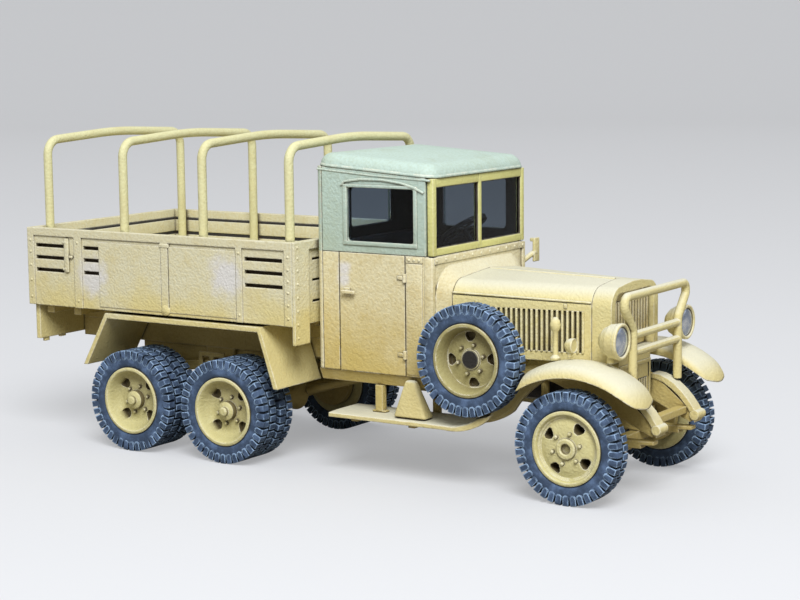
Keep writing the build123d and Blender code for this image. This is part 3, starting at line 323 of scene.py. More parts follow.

# %% [markdown]
# ## Shared paint effects
# The real model is brush-painted plastic. Three effects are on nearly every surface, so they come from two
# shader groups: the fine orange-peel grain of the paint, the rubbed pale edges, and the dark wash that lies
# in the panel lines, which also paints shade into gaps, corners and recesses. The edge mask compares the
# surface's own normal with a bevelled one, and the wash mask is ambient occlusion over a short reach, so
# both follow any shape without a painted map.

# %% Shader groups


def make_grain_group():
    """Orange-peel height and a faint speckle for brushed model paint."""
    tree, start, end = start_group(
        "paint_grain", [("Grain size", 1.0)], [("Height", "NodeSocketFloat"), ("Speckle", "NodeSocketFloat")],
    )
    fine = add_node(tree, "ShaderNodeVectorMath", {0: own_place(tree)}, operation="SCALE")
    tree.links.new(maths(tree, "DIVIDE", 1.0, start.outputs["Grain size"]), fine.inputs["Scale"])
    peel, blobs = [
        add_node(tree, "ShaderNodeTexNoise", {
            "Vector": fine.outputs[0], "Scale": 1 / (size * MM), "Detail": detail,
        })
        for size, detail in ((0.26, 3.0), (0.9, 1.0))
    ]
    height = maths(tree, "ADD", peel.outputs[0], times(tree, blobs.outputs[0], 0.3))
    tree.links.new(height, end.inputs["Height"])
    tree.links.new(ramp(tree, peel.outputs[0], 0.35, 0.7), end.inputs["Speckle"])
    return tree


def make_edge_group():
    """Mask of rubbed edges, broken up by noise, and mask of the wash and painted shade in gaps and corners.
    """
    tree, start, end = start_group(
        "edges_and_wash_with_shade", [("Edge width", 0.18), ("Wash and shade reach", 0.6)],
        [("Edges", "NodeSocketFloat"), ("Wash and shade", "NodeSocketFloat"), ("Rounded normal", "NodeSocketVector")],
    )
    width = times(tree, start.outputs["Edge width"], MM)
    rounded = add_node(tree, "ShaderNodeBevel", {"Radius": width}, samples=6).outputs[0]
    surface = add_node(tree, "ShaderNodeNewGeometry").outputs["Normal"]
    agree = add_node(tree, "ShaderNodeVectorMath", {0: rounded, 1: surface}, operation="DOT_PRODUCT")
    bend = maths(tree, "SUBTRACT", 1.0, agree.outputs["Value"])
    broken = ramp(tree, noise(tree, 1.1, 3.0), 0.34, 0.56)
    tree.links.new(times(tree, ramp(tree, bend, 0.006, 0.07), broken), end.inputs["Edges"])
    reach = times(tree, start.outputs["Wash and shade reach"], MM)
    # the wash mask darkens gaps and recesses within the reach: dark wash and painted shade
    shade = add_node(tree, "ShaderNodeAmbientOcclusion", {"Distance": reach}, samples=8)
    tree.links.new(ramp(tree, shade.outputs["AO"], 0.8, 0.25), end.inputs["Wash and shade"])
    tree.links.new(rounded, end.inputs["Rounded normal"])
    return tree


GRAIN_GROUP = make_grain_group()
EDGE_GROUP = make_edge_group()


def coat(tree, shader, colour, grain, edge, shine, peel, gloss):
    """Lead a paint's colour, shine and grain into its shader."""
    tree.links.new(colour, shader.inputs["Base Color"])
    uneven = times(tree, grain.outputs["Speckle"], shine[0])
    tree.links.new(maths(tree, "ADD", uneven, shine[1]), shader.inputs["Roughness"])
    shader.inputs["Specular IOR Level"].default_value = gloss
    bump = add_node(tree, "ShaderNodeBump", {
        "Height": grain.outputs["Height"], "Strength": peel[0], "Distance": peel[1] * MM,
        "Normal": edge.outputs["Rounded normal"],
    })
    tree.links.new(bump.outputs[0], shader.inputs["Normal"])


print("shader groups:", GRAIN_GROUP.name, EDGE_GROUP.name)

# %% [markdown]
# ## Paints
# The sand paint isn't one colour: it is mustard low on the doors and sills, paler on the bed sides, and
# pale on what faces up, such as the bonnet and the mudguards, which is partly dust and partly painted top
# light and sheen. One function makes each sand from a lower and an upper colour, with the heights between
# which it turns. The wash's reach is long on the wheels, where it paints the shade in the dishes, and the
# spare wears a darker copy of the wheel paint as painted shade. The cab's inside is dark, so the cab's walls
# change to a dark paint inside the cab's own box.

# %% Paint materials
PALE_RUB = (0.92, 0.89, 0.74, 1)
# pale that upward faces turn to: partly dust, partly painted top light and sheen
PALE_TOP_LIGHT_AND_DUST = (0.70, 0.69, 0.56, 1)
LILAC_RUB = (0.74, 0.74, 0.78, 1)
# colour of the dark wash in panel lines, also used as painted shade in gaps and recesses
WASH_AND_PAINTED_SHADE = (0.07, 0.045, 0.02, 1)
CAB_DARK = (0.018, 0.018, 0.02, 1)
CAB_INSIDE = ((0.25, 13.75), (-9.2, 9.2), (12.6, 30.7))
# how much red, green and blue a stain leaves of a paint's lower colour
STAIN = (0.86, 0.8, 0.66)


def inside_mask(tree, ranges):
    """1 inside a box given by its x, y and z ranges in mm, else 0."""
    parts = add_node(tree, "ShaderNodeSeparateXYZ", {0: own_place(tree)}).outputs
    mask = 1.0
    for part, (low, high) in zip(parts, ranges):
        above = maths(tree, "GREATER_THAN", part, low * MM)
        below = maths(tree, "LESS_THAN", part, high * MM)
        mask = times(tree, mask, times(tree, above, below))
    return mask


def patch_mask(tree, patches):
    """Mask of cloudy patches round points in mm, each with its reach in mm."""
    place = own_place(tree)
    cloud = maths(tree, "SUBTRACT", noise(tree, 1.6, 5.0, 0.65), 0.5)
    mask = 0.0
    for centre, reach in patches:
        ends = {0: place, 1: Vector(centre) * MM}
        away = add_node(tree, "ShaderNodeVectorMath", ends, operation="DISTANCE")
        near = maths(tree, "SUBTRACT", 1.0, maths(tree, "DIVIDE", away.outputs["Value"], reach * MM))
        mask = maths(tree, "MAXIMUM", mask, ramp(tree, maths(tree, "ADD", near, cloud), 0.15, 0.75))
    return mask


def paint(name, low_colour, high_colour, turn=(9.0, 22.0), rub=0.7, roughness=0.55, inside=False, patches=(),
          reach=0.6, drift=14.0, top_light_and_dust=0.0):
    """Brushed model paint that goes from a low to a high colour over a range of heights in mm."""
    material, tree, shader = new_material(name)
    height = add_node(tree, "ShaderNodeSeparateXYZ", {0: own_place(tree)}).outputs["Z"]
    uneven = times(tree, maths(tree, "SUBTRACT", noise(tree, 6.0, 4.0, 0.6), 0.5), drift * MM)
    level = ramp(tree, maths(tree, "ADD", height, uneven), turn[0] * MM, turn[1] * MM)
    colour = mix_colours(tree, level, (*low_colour, 1), (*high_colour, 1))
    grain = add_node(tree, "ShaderNodeGroup", node_tree=GRAIN_GROUP)
    grain.inputs["Grain size"].default_value = 1.0
    darker = (*[share * value for share, value in zip(STAIN, low_colour)], 1)
    colour = layer(tree, colour, darker, ramp(tree, noise(tree, 3.4, 6.0, 0.6), 0.5, 0.78), 0.42)
    colour = layer(tree, colour, darker, grain.outputs["Speckle"], 0.3)
    # upward faces turn paler: partly dust, partly painted top light and sheen
    if top_light_and_dust:
        normal = add_node(tree, "ShaderNodeNewGeometry").outputs["Normal"]
        upward = add_node(tree, "ShaderNodeSeparateXYZ", {0: normal}).outputs["Z"]
        colour = layer(tree, colour, PALE_TOP_LIGHT_AND_DUST, ramp(tree, upward, 0.3, 0.95), top_light_and_dust)
    if patches:
        colour = layer(tree, colour, LILAC_RUB, patch_mask(tree, patches), 0.75)
    edge = add_node(tree, "ShaderNodeGroup", {"Wash and shade reach": reach}, node_tree=EDGE_GROUP)
    colour = layer(tree, colour, PALE_RUB, edge.outputs["Edges"], rub)
    # dark wash in panel lines, and painted shade in gaps and recesses within the reach
    colour = layer(tree, colour, WASH_AND_PAINTED_SHADE, edge.outputs["Wash and shade"], 0.9)
    if inside:
        colour = mix_colours(tree, inside_mask(tree, CAB_INSIDE), colour, CAB_DARK)
    coat(tree, shader, colour, grain, edge, shine=(0.16, roughness - 0.08), peel=(0.8, 0.11), gloss=0.3)
    return material


SAND_LOW = (0.62, 0.49, 0.17)
SAND_HIGH = (0.78, 0.72, 0.48)
DOOR_RUBS = [((3.5, side * 9.5, z), 1.3) for side in SIDES for z in (20.2, 21.3)]
BED_RUBS = [
    ((x, side * 12.95, z), reach) for side in SIDES for x, z, reach in ((-28.0, 19.0, 3.4), (-9.2, 20.2, 3.6))
]
# the sand and the top sand turn paler on upward faces: partly dust, partly painted top light and sheen
SAND = paint("sand_paint", SAND_LOW, SAND_HIGH, inside=True, patches=DOOR_RUBS, top_light_and_dust=0.6)
SAND_BED = paint("bed_sand_paint", (0.74, 0.65, 0.31), (0.74, 0.71, 0.51), (14.0, 20.0), patches=BED_RUBS)
SAND_TOP = paint("top_light_and_dusty_sand_paint", (0.71, 0.62, 0.30), (0.73, 0.66, 0.34), (8.0, 18.0), top_light_and_dust=0.9)
SAND_UNDER = paint("chassis_sand_paint", (0.52, 0.42, 0.16), (0.62, 0.52, 0.22), (5.0, 14.0), rub=0.3)
# the wheel paint's long wash reach paints shade deep into the dished discs
SAND_WHEEL = paint(
    "wheel_sand_paint", (0.64, 0.60, 0.30), (0.68, 0.63, 0.33), (0.0, 12.0), rub=0.8, reach=3.4,
)
# darker copy of the wheel paint with a longer wash reach: painted shade for the spare's dish
SHADED_SPARE_SAND = paint(
    "spare_sand_paint_with_painted_shade", (0.40, 0.365, 0.165), (0.44, 0.40, 0.19), (6.0, 20.0), rub=0.9, reach=4.0,
)
SAND_HOOP = paint("hoop_sand_paint", (0.70, 0.66, 0.37), (0.73, 0.72, 0.43), (16.0, 34.0), rub=0.3)
YELLOW = paint("screen_frame_paint", (0.70, 0.68, 0.27), (0.72, 0.71, 0.30), (20.0, 31.0), rub=0.4)
GREY_GREEN = paint("roof_paint", (0.46, 0.57, 0.49), (0.52, 0.66, 0.60), (22.0, 33.0), rub=0.55, inside=True)
TWO_TONE = paint("two_tone_paint", SAND_HIGH, (0.49, 0.61, 0.54), (23.0, 23.1), inside=True, drift=0.3)
# dark paint for the seat, seals and cab floor, also worn by sheets and bars that paint shade in gaps and
# openings
DARK = paint("dark_and_shade_paint", (0.03, 0.028, 0.028), (0.04, 0.04, 0.045), (12.0, 30.0), rub=0.2, roughness=0.5)
print("paints:", len(bpy.data.materials))

# %% [markdown]
# ## Tyre, glass and lens
# The tyres are painted a slate blue-grey, with the lug edges rubbed lighter. The windows are clear plastic
# sheet with a little haze. The headlamp's lens is clear over a bright bowl, which a smooth metal with faint
# ripples stands for.

# %% Tyre, glass and lens materials
TYRE_SLATE = (0.05, 0.078, 0.135, 1)
TYRE_DUST = (0.125, 0.195, 0.34, 1)
TYRE_RUB = (0.47, 0.68, 0.98, 1)
TYRE_WASH_AND_SHADE = (0.012, 0.016, 0.026, 1)
WINDOW_TINT = (0.56, 0.66, 0.80, 1)
LENS_SHADE = (0.50, 0.60, 0.80, 1)
LENS_LIGHT = (0.86, 0.92, 1.0, 1)


def tyre_paint():
    """Slate paint with lighter worn edges and dusty patches."""
    material, tree, shader = new_material("tyre_paint")
    colour = mix_colours(tree, ramp(tree, noise(tree, 1.4, 4.0, 0.65), 0.4, 0.75), TYRE_SLATE, TYRE_DUST)
    edge = add_node(tree, "ShaderNodeGroup", {"Edge width": 0.2, "Wash and shade reach": 1.0}, node_tree=EDGE_GROUP)
    colour = layer(tree, colour, TYRE_RUB, edge.outputs["Edges"], 0.9)
    # darkens the gaps between the lugs: dark wash and painted shade
    colour = layer(tree, colour, TYRE_WASH_AND_SHADE, edge.outputs["Wash and shade"], 0.9)
    grain = add_node(tree, "ShaderNodeGroup", {"Grain size": 0.6}, node_tree=GRAIN_GROUP)
    coat(tree, shader, colour, grain, edge, shine=(0.2, 0.55), peel=(0.6, 0.05), gloss=0.2)
    return material


def clear_plastic():
    """Thin clear sheet with faint haze."""
    material, tree, shader = new_material("window_plastic")
    shader.inputs["Base Color"].default_value = WINDOW_TINT
    shader.inputs["Transmission Weight"].default_value = 1.0
    shader.inputs["IOR"].default_value = 1.3
    haze = ramp(tree, noise(tree, 2.2, 5.0, 0.7), 0.5, 0.85)
    tree.links.new(maths(tree, "ADD", times(tree, haze, 0.12), 0.02), shader.inputs["Roughness"])
    return material


def lens_silver():
    """Silvered lens, cloudy and faintly rippled."""
    material, tree, shader = new_material("lens_silver")
    shader.inputs["Metallic"].default_value = 0.75
    cloud = ramp(tree, noise(tree, 0.8, 3.0), 0.35, 0.7)
    tree.links.new(mix_colours(tree, cloud, LENS_SHADE, LENS_LIGHT), shader.inputs["Base Color"])
    tree.links.new(maths(tree, "ADD", times(tree, cloud, 0.12), 0.16), shader.inputs["Roughness"])
    ripple = noise(tree, 0.35, 1.0)
    bump = add_node(tree, "ShaderNodeBump", {"Height": ripple, "Strength": 0.3, "Distance": 0.05 * MM})
    tree.links.new(bump.outputs[0], shader.inputs["Normal"])
    return material


TYRE = tyre_paint()
CLEAR = clear_plastic()
LENS = lens_silver()
print("materials:", [material.name for material in bpy.data.materials])

# %% [markdown]
# ## Finishes on the solids
# Each solid keeps its mesh and takes the paint that its place on the truck shows. The table goes from a
# material to the nodes that wear it, and every node that isn't named wears the plain sand.

# %% Paint the solids
WEARS = {
    SAND_BED: ("bed_sides", "tailgate", "headboard", "rear_board", "rear_mudguards", "bed_floor"),
    SAND_TOP: (
        "mudguards", "bonnet", "radiator_shell", "horn_covers", "headlamp_shells", "spare_chocks",
        "brush_guard",
    ),
    SAND_UNDER: (
        "frame_rails", "cross_members", "trunnion", "front_springs", "rear_springs", "front_axle",
        "front_knuckles", "rear_axles", "propeller_shafts", "board_brackets", "bed_sills", "bed_bearers",
    ),
    SHADED_SPARE_SAND: ("spare_discs",),
    SAND_HOOP: ("hoops",),
    YELLOW: ("windscreen_frame",),
    GREY_GREEN: ("roof", "cab_uppers"),
    TWO_TONE: ("cab_back",),
    DARK: ("seat", "steering_wheel", "engine", "cab_floor", "spare_carriers"),
    CLEAR: ("window_panes",),
    LENS: ("headlamp_lenses",),
}


def paint_solids():
    """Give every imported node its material."""
    worn = {node: material for material, nodes in WEARS.items() for node in nodes}
    for name, solid in NODES.items():
        material = worn.get(name, SAND)
        if name.endswith("_disc"):
            material = SAND_WHEEL
        if "tyre" in name:
            material = TYRE
        solid.data.materials.clear()
        solid.data.materials.append(material)


paint_solids()
print("painted solids:", len(NODES))

# %% [markdown]
# ## Geometry Nodes for what repeats
# Lugs, nuts, rivets and louvres repeat dozens of times. Three small trees place them: one sets copies of a
# shape round an axle, one sets domed rivets on marked points, and one sets copies along a line. Each tree
# is baked to a plain mesh, because the export drops instances.

# %% Trees for rings, rivets and rows
RIVET_FACETS = {"Segments": 10, "Rings": 6, "Radius": 1.0}


def start_tree(name, inputs):
    """New geometry tree with named inputs, a material and one geometry output."""
    tree = bpy.data.node_groups.new(name, "GeometryNodeTree")
    for title, kind in (*inputs, ("Material", "Material")):
        tree.interface.new_socket(title, in_out="INPUT", socket_type=f"NodeSocket{kind}")
    tree.interface.new_socket("Geometry", in_out="OUTPUT", socket_type="NodeSocketGeometry")
    return tree, tree.nodes.new("NodeGroupInput").outputs, tree.nodes.new("NodeGroupOutput")


def close_tree(tree, instances, material, end):
    """Realize the copies, set their material and end the tree."""
    real = add_node(tree, "GeometryNodeRealizeInstances", {"Geometry": instances})
    painted = add_node(tree, "GeometryNodeSetMaterial", {"Geometry": real.outputs[0], "Material": material})
    tree.links.new(painted.outputs[0], end.inputs[0])
    return tree


def ring_tree():
    """Copies of a shape round the Y axis, each with its Z axis pointing outwards."""
    tree, given, end = start_tree("ring_of_copies", [
        ("Copy", "Object"), ("Count", "Int"), ("Radius", "Float"), ("Start", "Float"),
    ])
    shape = add_node(tree, "GeometryNodeObjectInfo", {"Object": given["Copy"]}).outputs["Geometry"]
    points = add_node(tree, "GeometryNodeMeshLine", {"Count": given["Count"], "Offset": (0, 0, 0)})
    index = add_node(tree, "GeometryNodeInputIndex").outputs[0]
    step = maths(tree, "DIVIDE", 2 * pi, given["Count"])
    angle = maths(tree, "ADD", times(tree, index, step), given["Start"])
    turn = add_node(tree, "ShaderNodeCombineXYZ", {"Y": angle})
    copies = add_node(tree, "GeometryNodeInstanceOnPoints", {
        "Points": points.outputs[0], "Instance": shape, "Rotation": turn.outputs[0],
    })
    lift = add_node(tree, "ShaderNodeCombineXYZ", {"Z": given["Radius"]})
    moved = add_node(tree, "GeometryNodeTranslateInstances", {
        "Instances": copies.outputs[0], "Translation": lift.outputs[0],
    })
    return close_tree(tree, moved.outputs[0], given["Material"], end)


def rivet_tree():
    """Low domes on the points of a mesh, each facing along the point's own facing attribute."""
    tree, given, end = start_tree("domed_rivets", [
        ("Points", "Geometry"), ("Radius", "Float"), ("Height", "Float"),
    ])
    ball = add_node(tree, "GeometryNodeMeshUVSphere", RIVET_FACETS)
    facing = add_node(tree, "GeometryNodeInputNamedAttribute", {"Name": "facing"}, data_type="FLOAT_VECTOR")
    turn = add_node(tree, "FunctionNodeAlignRotationToVector", {"Vector": facing.outputs[0]}, axis="Z")
    scale = add_node(tree, "ShaderNodeCombineXYZ", {
        "X": given["Radius"], "Y": given["Radius"], "Z": given["Height"],
    })
    copies = add_node(tree, "GeometryNodeInstanceOnPoints", {
        "Points": given["Points"], "Instance": ball.outputs[0], "Rotation": turn.outputs[0],
        "Scale": scale.outputs[0],
    })
    return close_tree(tree, copies.outputs[0], given["Material"], end)


def row_tree():
    """Copies of a shape along a straight line."""
    tree, given, end = start_tree("row_of_copies", [
        ("Copy", "Object"), ("Count", "Int"), ("First", "Vector"), ("Step", "Vector"),
    ])
    shape = add_node(tree, "GeometryNodeObjectInfo", {"Object": given["Copy"]}).outputs["Geometry"]
    points = add_node(tree, "GeometryNodeMeshLine", {
        "Count": given["Count"], "Start Location": given["First"], "Offset": given["Step"],
    })
    copies = add_node(tree, "GeometryNodeInstanceOnPoints", {"Points": points.outputs[0], "Instance": shape})
    return close_tree(tree, copies.outputs[0], given["Material"], end)


RING = ring_tree()
RIVETS = rivet_tree()
ROW = row_tree()


def grow(tree, values, points=None):
    """Run a tree once and return its result as a plain mesh."""
    host = new_object("host", points or bpy.data.meshes.new("host"))
    modifier = host.modifiers.new("grow", "NODES")
    modifier.node_group = tree
    sockets = {item.name: item.identifier for item in tree.interface.items_tree if item.in_out == "INPUT"}
    for title, value in values.items():
        modifier[sockets[title]] = value
    return evaluated_mesh(host)


def pattern_shape(mesh, name):
    """Object made from a bmesh, for a tree to copy or for a cut."""
    bmesh.ops.recalc_face_normals(mesh, faces=mesh.faces)
    return new_object(name, plain_mesh(mesh, name))


def grow_copies(tree, mesh, values):
    """Run a tree on a shape that is given as a bmesh."""
    shape = pattern_shape(mesh, "copied_shape")
    result = grow(tree, {"Copy": shape, **values})
    bpy.data.objects.remove(shape)
    return result


print("geometry trees:", RING.name, RIVETS.name, ROW.name)

# %% [markdown]
# ## Tyres
# Each tyre has forty chunky lugs on each shoulder: tongues with a round inner end that start on the
# sidewall and run over the shoulder to the middle of the tread, the two sides half a pitch apart. The
# carcass is a turned profile, and the lugs are one plain tongue copied round it, whose edges the paint
# rounds and rubs pale. One tyre is made at the origin, then placed for every wheel.

# %% Tyre carcass and lugs
TYRE_HALF = 1.1
TWIN_PITCH = 2.9
LUG_COUNT = 40
LUG_WIDTH = 0.62
LUG_TOP = 5.58
LUG_END = 4.92
LUG_REACH = (0.12, 1.095)
LUG_ROUND = 6
# radius and distance from the middle of the carcass, from the bead to the tread
TYRE_SIDE = [
    (3.7, 0.86), (3.84, 1.0), (4.05, 1.06), (4.4, 1.09), (4.75, 1.03), (5.05, 0.9), (5.24, 0.7), (5.3, 0.45),
]
ALONG_Y = ((0, 0, 0), (0, 1, 0))


def add_loft(mesh, rings):
    """Closed skin through rings of points in mm, all with the same count, with both ends capped."""
    loops = [[mesh.verts.new(Vector(place) * MM) for place in ring] for ring in rings]
    faces = [mesh.faces.new(loops[0]), mesh.faces.new(list(reversed(loops[-1])))]
    for first, second in zip(loops, loops[1:]):
        for step in range(len(first)):
            after = (step + 1) % len(first)
            faces.append(mesh.faces.new((first[step], first[after], second[after], second[step])))
    return faces


def join_copies(pattern, places):
    """New bmesh with a copy of a plain mesh at every one of some matrices."""
    joined = bmesh.new()
    for place in places:
        copy = pattern.copy()
        copy.transform(place)
        joined.from_mesh(copy)
        bpy.data.meshes.remove(copy)
    return joined


def tyre_mesh():
    """One tyre about the Y axis at the origin, as a plain mesh."""
    profile = [(radius, -away) for radius, away in TYRE_SIDE]
    profile += [(radius, away) for radius, away in reversed(TYRE_SIDE)]
    carcass = bmesh.new()
    add_turned(carcass, profile + profile[:1], *ALONG_Y, segments=80)
    half = LUG_WIDTH / 2
    angles = [pi * step / LUG_ROUND for step in range(1, LUG_ROUND)]
    outline = [(-half, LUG_TOP), (half, LUG_TOP), (half, LUG_END)]
    outline += [(half * cos(angle), LUG_END - half * sin(angle)) for angle in angles]
    outline.append((-half, LUG_END))
    for side in SIDES:
        tongue = bmesh.new()
        add_loft(tongue, [[(x, side * y, z) for x, z in outline] for y in LUG_REACH])
        start = 0.0 if side < 0 else pi / LUG_COUNT
        values = {"Count": LUG_COUNT, "Radius": 0.0, "Start": start, "Material": TYRE}
        carcass.from_mesh(grow_copies(RING, tongue, values))
    bmesh.ops.recalc_face_normals(carcass, faces=carcass.faces)
    return plain_mesh(carcass, "tyre_pattern")


# each wheel's name, tyre node, disc node and body
WHEELS = [
    (f"{axle}_{side}", f"{axle}_{side}_{tyre}", f"{axle}_{side}_disc", f"{axle}_{side}_{body}")
    for axle, tyre, body in (
        ("front", "tyre", "wheel"), ("middle", "tyres", "wheels"), ("rear", "tyres", "wheels"),
    )
    for side in ("right", "left")
]


def place_tyres():
    """Copy the tyre to every wheel, and to the two spares."""
    pattern = tyre_mesh()
    sets = [(f"{name}_lugged_tyre", body, node) for name, node, disc, body in WHEELS]
    sets.append(("spare_lugged_tyres", "truck", "spare_tyres"))
    for name, body, node in sets:
        low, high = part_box(node)
        middle = (low + high) / 2
        across = (-TWIN_PITCH * MM / 2, TWIN_PITCH * MM / 2) if node.endswith("tyres") else (0,)
        if body == "truck":
            across = (low.y + TYRE_HALF * MM - middle.y, high.y - TYRE_HALF * MM - middle.y)
        tyres = join_copies(pattern, [Matrix.Translation(middle + Vector((0, y, 0))) for y in across])
        dress_mesh(plain_mesh(tyres, name), name, TYRE, body, "tyre_paint", [node])


place_tyres()

# %% [markdown]
# ## Wheel discs
# The front discs are slightly domed plates with four vents, six nuts and a hub ring round a recess. The
# rear discs are deep dishes with a stepped hub that stands out, and the spares show the same dish from its
# open side. Each disc is turned from a profile, the vents are cut through it, and the nuts are one small
# shape copied round the hub.

# %% Wheel discs and nuts
# corners of each disc as (radius, distance inward from the tyre's face)
RIM = [(3.36, 0.0), (3.55, -0.02), (3.68, 0.05), (3.7, 0.2)]
FRONT_FACE = [
    (0, 0.42), (0.42, 0.4), (0.5, 0.3), (0.52, -0.02), (0.6, -0.1), (0.92, -0.1), (1.02, -0.02), (1.05, 0.22),
    (1.3, 0.2), (2.0, 0.24), (2.6, 0.38), (2.82, 0.5), (2.95, 0.5), (3.05, 0.36), (3.18, 0.33), (3.26, 0.12),
    *RIM,
]
TWIN_FACE = [
    (0, 0.08), (0.36, 0.1), (0.48, 0.2), (0.5, 0.5), (0.62, 0.55), (0.88, 0.6), (0.98, 0.7), (1.02, 1.3),
    (1.5, 1.36), (2.1, 1.44), (2.42, 1.42), (2.7, 1.2), (3.0, 0.75), (3.14, 0.36), (3.24, 0.14), *RIM,
]
SPARE_FACE = [
    (0.7, 2.0), (0.72, 1.12), (0.8, 1.04), (1.0, 1.06), (1.08, 1.2), (1.8, 1.32), (2.6, 1.5), (2.85, 1.4),
    (3.08, 0.8), (3.24, 0.14), *RIM,
]
# corners of one vent as (distance from the axle, half width), and the cutter's ends along the axle
VENT = ((1.82, 0.2), (2.05, 0.42), (2.42, 0.6), (2.66, 0.52), (2.74, 0.3))
VENT_CUT = (-1, 2)
NUT_PROFILE = [(0, 0.12), (0.2, 0.12), (0.2, -0.12), (0.15, -0.22), (0, -0.26)]
NUT_START = 0.26
HUB_BORE = 0.55
HUB_FLOOR = 0.68
UNTURNED = Matrix.Identity(4)
ABOUT_TURNED = Matrix.Rotation(pi, 4, "Z")


def cut_away(blank, cutter):
    """Plain mesh of a blank object with a cutter, given as a bmesh, taken from it."""
    tool = pattern_shape(cutter, "cutter")
    cut = blank.modifiers.new("cut", "BOOLEAN")
    cut.object = tool
    cut.operation = "DIFFERENCE"
    cut.solver = "EXACT"
    result = evaluated_mesh(blank)
    bpy.data.objects.remove(tool)
    return result


def vent_cutter(turn):
    """Four vent-shaped prisms round the Y axis, the first one turned by an angle."""
    mesh = bmesh.new()
    outline = [*VENT, *[(out, -half) for out, half in reversed(VENT)]]
    for quarter in range(4):
        angle = turn + quarter * pi / 2
        across, up = Vector((cos(angle), sin(angle))), Vector((-sin(angle), cos(angle)))
        flat = [across * out + up * half for out, half in outline]
        add_loft(mesh, [[(point.x, y, point.y) for point in flat] for y in VENT_CUT])
    return mesh


def disc_mesh(face, depth, vent_turn, nut_circle, nut_inward, bore=HUB_BORE):
    """One disc about the Y axis with its face at y = 0 looking along -Y, with its vents and nuts."""
    closing = [(bore, HUB_FLOOR), (0, HUB_FLOOR)] if face[0][0] == 0 else face[:1]
    mesh = bmesh.new()
    add_turned(mesh, [*face, (face[-1][0], depth), (bore, depth), *closing], *ALONG_Y, segments=72)
    bmesh.ops.remove_doubles(mesh, verts=mesh.verts, dist=SAME_PLACE)
    disc = cut_away(pattern_shape(mesh, "disc_blank"), vent_cutter(vent_turn))
    nut = bmesh.new()
    add_turned(nut, NUT_PROFILE, *ALONG_Y, segments=6)
    values = {"Count": 6, "Radius": nut_circle * MM, "Start": NUT_START, "Material": SAND_WHEEL}
    nuts = grow_copies(RING, nut, values)
    nuts.transform(Matrix.Translation((0, nut_inward * MM, 0)))
    joined = bmesh.new()
    joined.from_mesh(disc)
    joined.from_mesh(nuts)
    return plain_mesh(joined, "disc_pattern")


def on_face(node, left):
    """Matrix that sets a disc on the right or left face of a node's box."""
    low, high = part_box(node)
    middle = (low + high) / 2
    place = Matrix.Translation((middle.x, high.y if left else low.y, middle.z))
    return place @ (ABOUT_TURNED if left else UNTURNED)


def place_discs():
    """Copy the discs to the wheels; a left disc is the right one turned about the vertical."""
    front = disc_mesh(FRONT_FACE, depth=2.2, vent_turn=1.0, nut_circle=1.52, nut_inward=0.14)
    twin = disc_mesh(TWIN_FACE, depth=5.1, vent_turn=0.8, nut_circle=1.5, nut_inward=1.3)
    spare = disc_mesh(SPARE_FACE, depth=2.2, vent_turn=0.08, nut_circle=1.5, nut_inward=1.12, bore=0.7)
    for name, node, disc, body in WHEELS:
        pattern = front if name.startswith("front") else twin
        data = plain_mesh(join_copies(pattern, [on_face(node, name.endswith("left"))]), f"{name}_turned_disc")
        dress_mesh(data, f"{name}_turned_disc", SAND_WHEEL, body, "tan_paint", [disc])
    spares = join_copies(spare, [on_face("spare_discs", left) for left in (False, True)])
    data = plain_mesh(spares, "spare_turned_discs")
    # the spares wear the darker paint, which paints the shade in their dishes
    dress_mesh(data, "spare_turned_discs", SHADED_SPARE_SAND, "truck", "tan_paint", ["spare_discs"])


place_discs()

# %% [markdown]
# ## Hoops and brush guard
# Both are bent from round bar. The solids use an eight-sided bar to stay light; here the same centre lines
# carry a round one.

# %% Bent round bars
HOOP_X = (-35.27, -24.26, -13.25, -1.85)
HOOP_LINE = [(-11.6, 16.1), (-11.6, 33.8), (0, 34.4), (11.6, 33.8), (11.6, 16.1)]
HOOP_BENDS = (1.7, 60, 1.7)
HOOP_BAR = 0.49
GUARD_X = 34.15
GUARD_POST_Y = 5.1
GUARD_RIGHT = [(-GUARD_POST_Y, 10.42), (-GUARD_POST_Y, 16.7), (-6.9, 18.9), (-6.9, 20.0)]
GUARD_LINE = GUARD_RIGHT + [(-y, z) for y, z in reversed(GUARD_RIGHT)]
GUARD_BENDS = [0.7] * 6
GUARD_BAR = 0.44
CROSS_BAR = 0.39
CROSS_BARS_Z = (14.44, 16.12)


def add_tube(mesh, points, radius, sides=12, closed=False):
    """Round tube of the given radius in mm along a line of points in mm."""
    curve = bpy.data.curves.new("tube", "CURVE")
    curve.dimensions = "3D"
    curve.bevel_depth = radius * MM
    curve.bevel_resolution = sides // 4
    curve.use_fill_caps = True
    spline = curve.splines.new("POLY")
    spline.points.add(len(points) - 1)
    for point, place in zip(spline.points, points):
        point.co = (*(Vector(place) * MM), 1)
    spline.use_cyclic_u = closed
    tube = evaluated_mesh(new_object("tube", curve))
    mesh.from_mesh(tube)
    bpy.data.meshes.remove(tube)


def arc_points(corners, radii, steps=8):
    """Line of points through corners in mm, with each inner corner rounded to its own radius."""
    points = [Vector(corners[0])]
    for before, corner, after, radius in zip(corners, corners[1:], corners[2:], radii):
        corner = Vector(corner)
        towards = (Vector(before) - corner).normalized()
        onwards = (Vector(after) - corner).normalized()
        half = towards.angle(onwards) / 2
        reach = radius * cos(half) / sin(half)
        centre = corner + (towards + onwards).normalized() * (radius / sin(half))
        first = (corner + towards * reach - centre).normalized()
        last = (corner + onwards * reach - centre).normalized()
        points += [centre + first.slerp(last, step / steps) * radius for step in range(steps + 1)]
    points.append(Vector(corners[-1]))
    return points


